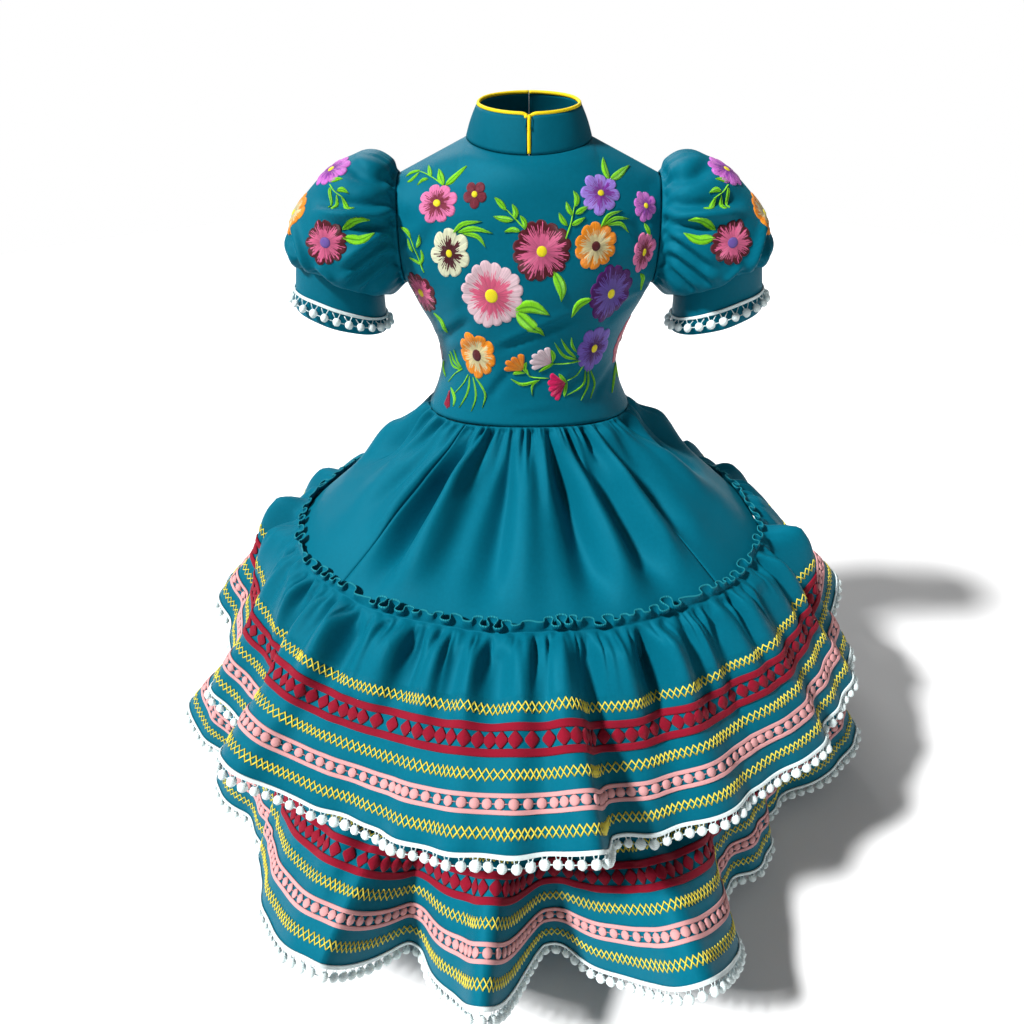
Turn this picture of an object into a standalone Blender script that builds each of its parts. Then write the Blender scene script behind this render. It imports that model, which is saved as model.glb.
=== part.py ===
"""A girl's escaramuza dress, filled out as if worn: fitted bodice, stand collar, two puff sleeves on
straight cuffs, a gathered skirt and two ruffle tiers, all trimmed with braid and ball fringe.

Metres, +Z up. The front faces -Y and the wearer's left is +X. The origin is the middle of the
shoulder line, where the wearer's shoulders carry the dress. Each cloth piece is a thin wall worked
out from rings: rows of points that run from the top of the piece to its lower edge, each row
counter-clockwise as seen from above.
"""

import math
from typing import NamedTuple

import bpy
import numpy as np

CM = 0.01
SEAM = 0.0003  # space left between two pieces that are sewn together
CLOTH = 0.0015  # wall of the dress cloth
TIER_SEAT = 0.0024  # outer face of the upper tier above the skirt at its gathering seam
BRAID = 0.0013  # wall of the woven braids
BRAID_SEAT = 0.0004  # space under a braid
TAPE_SEAT = 0.0009  # space under the tape of a ball fringe, which spans the twist of the hem
COLLAR_CLOTH = 0.0022  # the collar is interfaced, so its wall is thicker
PIPING_RADIUS = 0.0016

TORSO_CELLS = 16  # across the front, and again across the back
NECK_CELLS = 4  # of each eight from the middle to the armhole, those that lie on the neckline
SKIRT_COLUMNS = 84
FRONT_PANEL_COLUMNS = 11  # from the middle of the front to each seam of the front panel
SLEEVE_COLUMNS = 20
CUFF_COLUMNS = 22
COLLAR_CELLS = 8
COLLAR_CORNER_DEGREES = (14, 8.5, 5, 2.5)  # from the middle of the front, where its edge is round

ARMHOLE_X = 12.25 * CM
ARMHOLE_Z = -6.70 * CM
ARMHOLE_HEIGHT = 5.15 * CM  # half of it
ARMHOLE_DEPTH = 3.90 * CM  # half of it
NECK_Y = 0.30 * CM
NECK_HALF_WIDTH = 5.80 * CM
NECK_FRONT = 5.10 * CM
NECK_BACK = 4.70 * CM
NECK_SIDE_Z = 1.55 * CM
NECK_RISE_BACK = 0.575 * CM
NECK_ROUND = -0.225 * CM

COLLAR_TOP_HALF_WIDTH = 4.75 * CM
COLLAR_TOP_FRONT = 4.20 * CM
COLLAR_TOP_BACK = 3.90 * CM
COLLAR_HEIGHT = 2.80 * CM
COLLAR_HEIGHT_FRONT = 3.15 * CM
COLLAR_CORNER = 0.75 * CM  # how far the rounded corners reach from the middle of the front
COLLAR_DIP = 0.55 * CM  # how deep the two corners make the notch between them
PIPING_CLEAR = 1.08  # the square piping sits this much further off than its radius
PIPING_STOPS = (0.08, 0.5, 0.97)  # shares of the way down the front edge of the collar

HEADING_AT = 20.9 * CM  # along the skirt from the waist to the gathering seam of the upper tier
SKIRT_LENGTH = 34.3 * CM  # along the skirt to its lower edge, which carries the lower tier
TIER_1_LENGTH = 19.5 * CM
TIER_2_LENGTH = 20.9 * CM
FRILL_HEIGHT = 1.0 * CM
FRILL_CREST = 0.80 * CM  # how far the waves of the standing frill reach from the skirt
FRILL_TROUGH = 0.26 * CM
FLUTES = 14  # broad soft folds of the plain skirt

TIER_STEPS = 60  # short steps in which a tier's fall is added up
TIER_ROUNDING = 1.1  # above 1, a tier leaves its seam flatter than it ends
FOLD_OPENING = 1.5  # above 1, the folds of a tier open late, near the hem
LEAST_FALL = 0.2  # of each step's length

BALL_TAPE = 0.35 * CM
BALL_BELLY = 0.55  # how far down a ball is widest, as a share of its drop
BALL_HANG = 0.6  # how much the balls of a tier turn from the slope of its hem to straight down
CUFF_TRIM_TOP = 2.05 * CM  # from the lower edge of the cuff to the top of its tape


class TorsoRing(NamedTuple):
    """One level of the bodice below the underarm, in centimetres."""

    z_side: float
    z_middle: float
    half_width: float
    front: float
    back: float


class ChestRow(NamedTuple):
    """One row above the underarm. It ends on the armhole, at an angle from the armhole's top."""

    armhole_deg: float
    z_middle: float
    front: float
    back: float
    wrap_deg: float


class SkirtRing(NamedTuple):
    """One level of the skirt, in centimetres: its distance below the waist along the cloth, its
    heights, half width, the y where it is widest, its depths from the axis, and how deep its fine
    gathers and broad folds are.
    """

    along: float
    z_side: float
    z_front: float
    z_back: float
    half_width: float
    widest_y: float
    front: float
    back: float
    gather: float
    flute: float


class Fold(NamedTuple):
    """One fold of a tier: its outer and inner turning points at the hem, degrees and centimetres."""

    crest_deg: float
    crest_r: float
    trough_deg: float
    trough_r: float


class SleeveSection(NamedTuple):
    """One section of the left sleeve: its outer and inner points, half depth and gathers, in cm."""

    outer_x: float
    outer_z: float
    inner_x: float
    inner_z: float
    half_depth: float
    gather: float


class BallSizes(NamedTuple):
    """How far a ball hangs below its tape, its width and thickness, and how far it stands out."""

    drop: float
    width: float
    thickness: float
    stand_off: float


TORSO_RINGS = [
    TorsoRing(-25.33, -24.60, 11.00, 7.50, 7.20),
    TorsoRing(-22.60, -22.20, 9.85, 6.95, 6.60),
    TorsoRing(-19.60, -19.40, 9.30, 6.75, 6.35),
    TorsoRing(-16.40, -16.40, 10.00, 7.05, 6.65),
    TorsoRing(-13.90, -13.80, 11.20, 7.40, 6.95),
    TorsoRing(-11.85, -11.30, 12.15, 7.60, 7.10),
]

CHEST_ROWS = [
    ChestRow(150, -9.80, 7.60, 7.15, 80),
    ChestRow(122, -7.80, 7.50, 7.10, 70),
    ChestRow(94, -5.70, 7.25, 7.00, 62),
    ChestRow(66, -3.50, 6.85, 6.80, 56),
]
SHOULDER_STEPS = 3  # rows from the last chest row up to the neckline and the shoulder seam
SHOULDER_BEND = (0.5, 0.2, 0.8)  # how far along x, y and z the bend of those rows' columns lies

SKIRT_RINGS = [
    SkirtRing(0.0, -25.33, -24.60, -24.60, 11.00, 0.00, 7.50, 7.20, 0.10, 0.00),
    SkirtRing(2.6, -26.95, -26.25, -26.70, 12.90, -0.60, 9.50, 8.40, 0.30, 0.05),
    SkirtRing(8.2, -30.40, -29.90, -31.40, 17.15, -2.20, 13.95, 12.00, 0.18, 0.22),
    SkirtRing(14.4, -34.00, -33.55, -36.40, 21.35, -4.10, 19.10, 15.60, 0.06, 0.30),
    SkirtRing(20.9, -37.70, -37.30, -41.30, 25.90, -5.80, 24.60, 18.60, 0.00, 0.12),
    SkirtRing(34.3, -50.50, -50.50, -53.00, 30.60, -4.20, 29.00, 24.60, 0.00, 0.10),
]

TIER_1_FOLDS = [
    Fold(0.0, 39.6, 13.0, 36.8),
    Fold(28.0, 37.6, 44.0, 34.0),
    Fold(60.0, 34.8, 76.0, 31.2),
    Fold(91.0, 33.8, 106.0, 30.6),
    Fold(121.0, 35.0, 137.0, 32.4),
    Fold(153.0, 37.6, 169.0, 36.2),
    Fold(180.0, 39.6, 197.5, 37.4),
    Fold(207.5, 39.8, 214.5, 37.6),
    Fold(225.5, 42.3, 243.0, 38.9),
    Fold(264.0, 41.2, 272.0, 40.6),
    Fold(278.0, 41.7, 282.5, 37.1),
    Fold(300.0, 38.9, 306.5, 38.0),
    Fold(320.0, 39.6, 326.0, 39.1),
    Fold(339.0, 40.2, 350.0, 38.2),
]

TIER_2_FOLDS = [
    Fold(12.0, 43.4, 26.0, 38.0),
    Fold(40.0, 41.6, 53.0, 35.2),
    Fold(66.0, 39.6, 78.0, 33.8),
    Fold(91.0, 39.8, 104.0, 33.6),
    Fold(117.0, 40.0, 131.0, 34.8),
    Fold(146.0, 41.8, 158.0, 37.2),
    Fold(170.0, 43.4, 180.0, 41.2),
    Fold(190.0, 45.6, 201.0, 41.6),
    Fold(208.0, 42.4, 214.0, 40.2),
    Fold(246.0, 47.6, 252.0, 39.4),
    Fold(265.0, 47.6, 272.5, 37.0),
    Fold(290.0, 48.0, 308.0, 37.5),
    Fold(314.0, 38.6, 326.0, 35.8),
    Fold(344.0, 44.0, 360.0, 39.8),
]

# Rows of each tier, as distances up from its hem: the edges of its two braids, and one above them.
RED_BRAID = (11.10 * CM, 8.20 * CM)
PINK_BRAID = (5.25 * CM, 3.50 * CM)
TIER_ROWS = (15.4 * CM, *RED_BRAID, *PINK_BRAID, 0.0)

SLEEVE_SECTIONS = [
    SleeveSection(12.28, -1.55, 12.28, -11.85, 3.90, 0.00),
    SleeveSection(13.10, -0.35, 12.70, -12.25, 4.90, 0.25),
    SleeveSection(14.90, 0.30, 13.20, -12.65, 5.70, 0.18),
    SleeveSection(18.30, -0.85, 13.75, -12.95, 6.30, 0.05),
    SleeveSection(21.90, -4.30, 14.20, -13.15, 6.50, 0.05),
    SleeveSection(23.85, -8.00, 14.45, -13.25, 6.20, 0.14),
    SleeveSection(24.15, -10.70, 14.60, -13.35, 5.20, 0.22),
]
CUFF_TOP = SleeveSection(23.25, -10.80, 14.85, -13.60, 4.00, 0.00)
CUFF_HEM = SleeveSection(24.00, -14.10, 14.95, -16.95, 3.90, 0.00)

TIER_BALLS = BallSizes(drop=1.35 * CM, width=1.70 * CM, thickness=0.70 * CM, stand_off=0.0)
CUFF_BALLS = BallSizes(drop=1.30 * CM, width=0.80 * CM, thickness=0.70 * CM, stand_off=0.35 * CM)

TEAL = (0.003, 0.110, 0.150, 1)
RED = (0.280, 0.004, 0.020, 1)
PINK = (0.780, 0.290, 0.290, 1)
WHITE = (0.800, 0.930, 0.930, 1)
YELLOW = (0.900, 0.620, 0.010, 1)


def unit(vectors):
    """Each vector at length one."""
    return vectors / np.linalg.norm(vectors, axis=-1, keepdims=True)


def normals_of(grid, closed):
    """Outward directions of a grid of rows (top to bottom) by columns (counter-clockwise)."""
    down = np.gradient(grid, axis=0)
    if closed:
        across = np.roll(grid, -1, axis=1) - np.roll(grid, 1, axis=1)
    else:
        across = np.gradient(grid, axis=1)
    return unit(np.cross(down, across))


def flatten(normals, rows, columns, axis):
    """Turns the normals at a seam until they lie along it, so that both sides of it end square."""
    block = normals[rows, columns].copy()
    block[..., axis] = 0
    normals[rows, columns] = unit(block)


def strip(upper, lower, closed=False):
    """Triangles between two rows of point numbers. The upper row may have twice as many steps."""
    if closed:
        upper = list(upper) + [upper[0]]
        lower = list(lower) + [lower[0]]
    faces = []
    if len(upper) == len(lower):
        for a, b, c, d in zip(upper, lower, lower[1:], upper[1:]):
            faces += [(a, b, c), (a, c, d)]
        return faces
    for i in range(len(lower) - 1):
        left, middle, right = upper[2 * i : 2 * i + 3]
        faces += [(left, lower[i], middle), (lower[i], lower[i + 1], middle), (middle, lower[i + 1], right)]
    return faces


def flipped(faces):
    return [(a, c, b) for a, b, c in faces]


def add_object(name, data, colour, roughness):
    """An object for a mesh or a curve, with a material of its own."""
    material = bpy.data.materials.new(name + "_finish")
    material.use_nodes = True
    shader = material.node_tree.nodes["Principled BSDF"]
    shader.inputs["Base Color"].default_value = colour
    shader.inputs["Roughness"].default_value = roughness
    shader.inputs["Metallic"].default_value = 0.0
    data.materials.append(material)
    bpy.context.scene.collection.objects.link(bpy.data.objects.new(name, data))


def add_mesh(name, points, faces, colour, roughness):
    mesh = bpy.data.meshes.new(name)
    mesh.from_pydata([tuple(map(float, p)) for p in points], [], faces)
    add_object(name, mesh, colour, roughness)


def add_wall(name, outer, inner, colour=TEAL, closed=False, roughness=0.75):
    """A closed wall of cloth between two lists of rows, which have the same counts of points."""
    points = np.concatenate(list(outer) + list(inner))
    starts = np.cumsum([0] + [len(row) for row in list(outer) + list(inner)])
    numbers = [list(range(a, b)) for a, b in zip(starts, starts[1:])]
    out, into = numbers[: len(outer)], numbers[len(outer) :]
    faces = []
    for upper, lower in zip(out, out[1:]):
        faces += strip(upper, lower, closed)
    for upper, lower in zip(into, into[1:]):
        faces += flipped(strip(upper, lower, closed))
    faces += strip(into[0], out[0], closed)
    faces += strip(out[-1], into[-1], closed)
    if not closed:
        faces += strip([row[0] for row in out], [row[0] for row in into])
        faces += strip([row[-1] for row in into], [row[-1] for row in out])
    add_mesh(name, points, faces, colour, roughness)


def cut_panel(rows, start, stop, columns):
    """The columns from start to stop of closed rows, their two side edges drawn in for the seams."""
    panel = []
    for row in rows:
        per_column = len(row) // columns
        taken = np.arange(start * per_column, stop * per_column + 1) % len(row)
        panel.append(draw_in(row[taken]))
    return panel


def draw_in(row):
    """An open row whose two ends stand half a seam's space back."""
    row = row.copy()
    first = unit(row[1] - row[0]) * SEAM / 2
    last = unit(row[-2] - row[-1]) * SEAM / 2
    row[0] += first
    row[-1] += last
    return row


def armhole(degrees, side):
    """A point of the left armhole, at an angle from its top towards the front (-1) or back (1)."""
    turn = math.radians(degrees)
    return np.array(
        [ARMHOLE_X, side * ARMHOLE_DEPTH * math.sin(turn), ARMHOLE_Z + ARMHOLE_HEIGHT * math.cos(turn)]
    )


def neck_point(turn, half_width=NECK_HALF_WIDTH, front=NECK_FRONT, back=NECK_BACK):
    """A point of the neckline, where turn is 0 at the left, -90 at the front and 90 at the back."""
    sine = math.sin(turn)
    depth = front if sine < 0 else back
    z = NECK_SIDE_Z + NECK_RISE_BACK * sine + NECK_ROUND * sine * sine
    return np.array([half_width * math.cos(turn), NECK_Y + depth * sine, z])


def top_edge(across, side):
    """The upper edge of the front (-1) or back (1) of the bodice, across from -1 to 1."""
    share = abs(across) * TORSO_CELLS / 2 / NECK_CELLS
    if share <= 1:
        point = neck_point(side * math.pi / 2 * (1 - share))
    else:
        point = neck_point(0.0)
        point += (armhole(0, side) - point) * (share - 1)
    point[0] = math.copysign(point[0], across)
    return point


def torso_grid(side):
    """The outer face of the front (-1) or back (1) of the bodice, from its top edge to the waist."""
    rows = []
    for ring in TORSO_RINGS:
        depth = ring.front if side < 0 else ring.back
        row = []
        for across in np.linspace(-1, 1, TORSO_CELLS + 1):
            turn = across * math.pi / 2
            middle = math.cos(turn) ** 2
            z = ring.z_side + (ring.z_middle - ring.z_side) * middle
            row.append((ring.half_width * math.sin(turn) * CM, side * depth * math.cos(turn) * CM, z * CM))
        rows.append(np.array(row))
    for chest in CHEST_ROWS:
        depth = (chest.front if side < 0 else chest.back) * CM
        edge = armhole(chest.armhole_deg, side)
        wrap = math.radians(chest.wrap_deg)
        row = []
        for across in np.linspace(-1, 1, TORSO_CELLS + 1):
            turn = across * wrap
            middle = (math.cos(turn) - math.cos(wrap)) / (1 - math.cos(wrap))
            x = ARMHOLE_X * math.sin(turn) / math.sin(wrap)
            y = edge[1] + (side * depth - edge[1]) * middle
            row.append((x, y, edge[2] + (chest.z_middle * CM - edge[2]) * middle))
        rows.append(np.array(row))
    rows += shoulder_rows(rows[-1], side)
    grid = np.array(rows[::-1])
    return grid if side < 0 else grid[:, ::-1]


def shoulder_rows(start, side):
    """Rows from the last chest row to the top edge. Each column is a curve that rises, then turns in."""
    ends = np.array([top_edge(across, side) for across in np.linspace(-1, 1, TORSO_CELLS + 1)])
    bend = start + (ends - start) * SHOULDER_BEND
    rows = []
    for step in range(1, SHOULDER_STEPS + 1):
        t = step / SHOULDER_STEPS
        row = start * (1 - t) ** 2 + bend * 2 * t * (1 - t) + ends * t * t
        edge = armhole(CHEST_ROWS[-1].armhole_deg * (1 - t), side)
        row[-1] = edge
        row[0] = edge * (-1, 1, 1)
        rows.append(row)
    return rows


def build_bodice():
    """The front in one piece and the back in two, with a closed seam down the middle."""
    body_rows = len(TORSO_RINGS)
    for side, pieces in ((-1, {"bodice_front": (0, TORSO_CELLS)}),
                         (1, {"bodice_back_left": (0, TORSO_CELLS // 2),
                              "bodice_back_right": (TORSO_CELLS // 2, TORSO_CELLS)})):
        grid = torso_grid(side)
        normals = normals_of(grid, closed=False)
        seam_rows = slice(len(grid) - body_rows, None)
        for edge in (0, -1):
            flatten(normals, seam_rows, edge, 1)
        shoulder = TORSO_CELLS // 2 - NECK_CELLS + 1
        flatten(normals, 0, slice(0, shoulder), 1)
        flatten(normals, 0, slice(TORSO_CELLS + 1 - shoulder, None), 1)
        flatten(normals, slice(None), TORSO_CELLS // 2, 0)
        inside = grid - normals * CLOTH
        for name, (start, stop) in pieces.items():
            outer = [draw_in(row[start : stop + 1]) for row in grid]
            inner = [draw_in(row[start : stop + 1]) for row in inside]
            for rows in (outer, inner):
                rows[0] = rows[0] + (0, side * SEAM / 2, -SEAM / 2)
            add_wall(name, outer, inner)


def collar_turns():
    """Angles from the middle of the back to the front corner, closer together at the corner."""
    turns = np.linspace(math.pi / 2, -math.pi / 2, COLLAR_CELLS + 1)[:-1]
    return np.append(turns, np.radians(COLLAR_CORNER_DEGREES) - math.pi / 2)


def collar_top(turn):
    """The top edge of the stand collar, which leans in and dips at its rounded front corner."""
    base = neck_point(turn)
    top = neck_point(turn, COLLAR_TOP_HALF_WIDTH, COLLAR_TOP_FRONT, COLLAR_TOP_BACK)
    front = max(0.0, -math.sin(turn))
    height = COLLAR_HEIGHT + (COLLAR_HEIGHT_FRONT - COLLAR_HEIGHT) * front
    inward = math.hypot(top[0] - base[0], top[1] - base[1])
    top[2] = base[2] + math.sqrt(height**2 - inward**2)
    from_front = min(1.0, COLLAR_TOP_HALF_WIDTH * (turn + math.pi / 2) / COLLAR_CORNER)
    top[2] -= COLLAR_DIP * (1 - math.sqrt(1 - (1 - from_front) ** 2))
    return top


def collar_half(front_edge_x):
    """The top edge and the base of the left half of the collar, from the front to the back."""
    tops = np.array([collar_top(turn) for turn in collar_turns()])
    bases = np.array([neck_point(turn) for turn in collar_turns()])
    rows = np.array([tops, bases + (0, 0, SEAM)])
    rows[:, -1, 0] = front_edge_x
    rows[:, 0, 0] = SEAM / 2
    return rows[:, ::-1]


def build_collar():
    """Two halves that meet at the front on the piping of the left one."""
    half = collar_half(PIPING_RADIUS + 2 * SEAM)
    normals = normals_of(half, closed=False)
    flatten(normals, slice(None), 0, 0)
    flatten(normals, slice(None), -1, 0)
    inside = half - normals * COLLAR_CLOTH
    mirror = (-1, 1, 1)
    add_wall("collar_left", list(half), list(inside))
    add_wall("collar_right", [r[::-1] * mirror for r in half], [r[::-1] * mirror for r in inside])

    middle = (half + inside) / 2
    edge_up = unit(np.cross(normals[0], np.gradient(middle[0], axis=0)))
    top_route = (middle[0] + edge_up * (PIPING_RADIUS + SEAM) * PIPING_CLEAR)[::-1]
    top_route[0, 0] = 2 * SEAM
    front_top, front_base = middle[0, 0].copy(), middle[-1, 0].copy()
    front_top[0] = front_base[0] = 0
    down_route = [front_top + (front_base - front_top) * share for share in PIPING_STOPS]
    add_piping("piping_left", list(top_route) + down_route)
    add_piping("piping_right", list(top_route * mirror)[:-1])


def add_piping(name, route):
    """A round piping along a route, square in section here."""
    curve = bpy.data.curves.new(name, "CURVE")
    curve.dimensions = "3D"
    curve.bevel_depth = PIPING_RADIUS
    curve.bevel_resolution = 0
    curve.use_fill_caps = True
    spline = curve.splines.new("POLY")
    spline.points.add(len(route) - 1)
    for point, place in zip(spline.points, route):
        point.co = (*map(float, place), 1)
    add_object(name, curve, YELLOW, 0.6)


def sleeve_ring(section, columns):
    """One ring of the left sleeve. Its points start at the outer end and turn towards the back."""
    outer = np.array([section.outer_x, 0, section.outer_z]) * CM
    inner = np.array([section.inner_x, 0, section.inner_z]) * CM
    middle = (outer + inner) / 2
    reach = (outer - inner) / 2
    depth = np.array([0, section.half_depth * CM, 0])
    turn = 2 * math.pi * np.arange(columns)[:, None] / columns
    arm = reach * np.cos(turn) + depth * np.sin(turn)
    swell = section.gather * CM * np.where(np.arange(columns) % 2, 1, -1)[:, None]
    return middle + arm * (1 + swell / np.linalg.norm(arm, axis=1, keepdims=True))


def mirrored(grid):
    """A grid of the left side as it lies on the right, its columns still counter-clockwise."""
    return grid[..., ::-1, :] * (-1, 1, 1)


def build_sleeves():
    """A puff gathered at both ends, a straight cuff and its ball fringe, on each side."""
    cuff = np.array([sleeve_ring(section, CUFF_COLUMNS) for section in (CUFF_TOP, CUFF_HEM)])
    fall = unit(cuff[1] - cuff[0])
    puff = [sleeve_ring(section, SLEEVE_COLUMNS) for section in SLEEVE_SECTIONS]
    puff.append(sleeve_ring(CUFF_TOP, SLEEVE_COLUMNS) - fall.mean(axis=0) * SEAM)
    puff = np.array(puff)
    puff_inside = puff - normals_of(puff, closed=True) * CLOTH
    outward = normals_of(cuff, closed=True)
    cuff_inside = cuff - outward * CLOTH
    tape_top = cuff[1] - fall * CUFF_TRIM_TOP
    fringe = (tape_top, tape_top + fall * BALL_TAPE, outward[1], fall)
    for name, place in (("left", np.array), ("right", mirrored)):
        add_wall("sleeve_" + name, place(puff), place(puff_inside), closed=True)
        add_wall("cuff_" + name, place(cuff), place(cuff_inside), closed=True)
        add_ball_fringe("ball_fringe_cuff_" + name, *map(place, fringe), CUFF_BALLS)


def add_ball_fringe(name, top, bottom, outward, fall, sizes):
    """A narrow tape round an edge with one four-sided ball to each step, fused to it by its root."""
    seat, face = outward * TAPE_SEAT, outward * (TAPE_SEAT + BRAID)
    count = len(top)
    rows = [top + face, bottom + face, bottom + seat, top + seat]
    out_top, out_low, in_low, in_top = [list(range(k * count, (k + 1) * count)) for k in range(4)]
    faces = strip(out_top, out_low, closed=True)
    faces += flipped(strip(in_top, in_low, closed=True))
    faces += strip(in_top, out_top, closed=True)
    points = [p for row in rows for p in row]
    for i in range(count):
        j = (i + 1) % count
        root = [out_low[i], out_low[j], in_low[j], in_low[i]]
        middle = sum(points[k] for k in root) / 4
        along = unit(bottom[j] - bottom[i])
        down = unit(fall[i] + fall[j])
        out = unit(outward[i] + outward[j])
        belly = middle + down * sizes.drop * BALL_BELLY + out * sizes.stand_off
        side, deep = along * sizes.width / 2, out * sizes.thickness / 2
        ring = list(range(len(points), len(points) + 4))
        points += [belly - side + deep, belly + side + deep, belly + side - deep, belly - side - deep]
        tip = len(points)
        points.append(middle + down * sizes.drop + out * sizes.stand_off)
        for k in range(4):
            m = (k + 1) % 4
            faces += [(root[k], ring[k], ring[m]), (root[k], ring[m], root[m]), (ring[k], tip, ring[m])]
    add_mesh(name, points, faces, WHITE, 0.85)


def skirt_radius(ring, turns):
    """Distance from the axis of a skirt ring, two half ellipses that meet where it is widest."""
    cosine, sine = np.cos(turns), np.sin(turns)
    distances = []
    for depth in (ring.front + ring.widest_y, ring.back - ring.widest_y):
        square = (cosine / ring.half_width) ** 2 + (sine / depth) ** 2
        half_linear = ring.widest_y * sine / depth**2
        constant = (ring.widest_y / depth) ** 2 - 1
        distances.append((half_linear + np.sqrt(half_linear**2 - square * constant)) / square)
    before, behind = distances
    return np.where(before * sine < ring.widest_y, before, behind) * CM


def flutes(turns):
    """The broad folds of the skirt round its axis, from -1 to 1, a little uneven in spacing."""
    return np.sin(FLUTES * turns + 0.9 * np.sin(2 * turns + 0.4) + 0.6 * np.sin(3 * turns))


def skirt_level(along, turns):
    """The skirt without its fine gathers, at a distance below the waist: radius and height."""
    table = np.array(SKIRT_RINGS)
    at = along / CM
    ring = SkirtRing(*[np.interp(at, table[:, 0], table[:, k]) for k in range(len(SkirtRing._fields))])
    radius = skirt_radius(ring, turns) + ring.flute * CM * flutes(turns)
    z_end = np.where(np.sin(turns) < 0, ring.z_front, ring.z_back)
    height = (ring.z_side + (z_end - ring.z_side) * np.sin(turns) ** 2) * CM
    return radius, height


def round_row(radius, height, turns):
    return np.stack([radius * np.cos(turns), radius * np.sin(turns), height + 0 * radius], axis=-1)


def build_skirt():
    """Three panels, gathered into the waist seam: the front, and two that meet at the back."""
    turns = np.radians(np.arange(SKIRT_COLUMNS) * 360 / SKIRT_COLUMNS)
    zigzag = np.where(np.arange(SKIRT_COLUMNS) % 2, 1, -1)
    rows = []
    for ring in SKIRT_RINGS:
        radius, height = skirt_level(ring.along * CM, turns)
        rows.append(round_row(radius + zigzag * ring.gather * CM, height, turns))
    grid = np.array(rows)
    grid[0] -= (0, 0, SEAM)
    inside = grid - normals_of(grid, closed=True) * CLOTH
    inside[0, :, 2] = np.minimum(inside[0, :, 2], grid[0, :, 2])
    quarter = SKIRT_COLUMNS // 4
    right_seam = 3 * quarter - FRONT_PANEL_COLUMNS
    left_seam = 3 * quarter + FRONT_PANEL_COLUMNS
    panels = {
        "skirt_front": (right_seam, left_seam),
        "skirt_back_left": (left_seam, SKIRT_COLUMNS + quarter),
        "skirt_back_right": (quarter, right_seam),
    }
    for name, (start, stop) in panels.items():
        outer = cut_panel(list(grid), start, stop, SKIRT_COLUMNS)
        inner = cut_panel(list(inside), start, stop, SKIRT_COLUMNS)
        add_wall(name, outer, inner)


def fold_columns(folds):
    """Angles and hem radii of the columns, six to a fold, and the radii of the hem without folds.

    Between two turning points the hem is a soft curve, and the hem without folds passes halfway.
    """
    marks = [(f.crest_deg, f.crest_r) for f in folds] + [(f.trough_deg, f.trough_r) for f in folds]
    marks.sort()
    marks.append((marks[0][0] + 360, marks[0][1]))
    turns, radii = [], []
    for (deg_a, r_a), (deg_b, r_b) in zip(marks, marks[1:]):
        for t in (0, 1 / 3, 2 / 3):
            turns.append(math.radians(deg_a + (deg_b - deg_a) * t))
            radii.append((r_a + (r_b - r_a) * (1 - math.cos(math.pi * t)) / 2) * CM)
    degrees, reaches = np.array(marks).T
    halfway = np.radians(degrees[:-1] + degrees[1:]) / 2
    calm = np.interp(turns, halfway, (reaches[:-1] + reaches[1:]) / 2 * CM, period=2 * math.pi)
    return np.array(turns), np.array(radii), calm


def tier_rows(turns, start_radius, start_height, hem_radii, calm, length, distances):
    """A tier that leaves its seam outwards and falls by what is left of its cloth on the way.

    Its radius grows towards the hem without folds, the folds open towards the hem, and the height
    of each short step follows from the step's length and its growth in radius.
    """
    share = np.linspace(0, 1, TIER_STEPS + 1)[:, None]
    radius = start_radius + (calm - start_radius) * (1 - (1 - share) ** TIER_ROUNDING)
    radius = radius + (hem_radii - calm) * share**FOLD_OPENING
    growth = np.diff(radius, axis=0)
    step = length / TIER_STEPS
    fall = np.sqrt(np.maximum(step**2 - growth**2, (LEAST_FALL * step) ** 2))
    height = start_height - np.concatenate([0 * fall[:1], np.cumsum(fall, axis=0)])
    rows = []
    for distance in distances:
        at = (length - distance) / length * TIER_STEPS
        low = min(int(at), TIER_STEPS - 1)
        t = at - low
        rows.append(round_row(radius[low] * (1 - t) + radius[low + 1] * t,
                              height[low] * (1 - t) + height[low + 1] * t, turns))
    return rows


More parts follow.
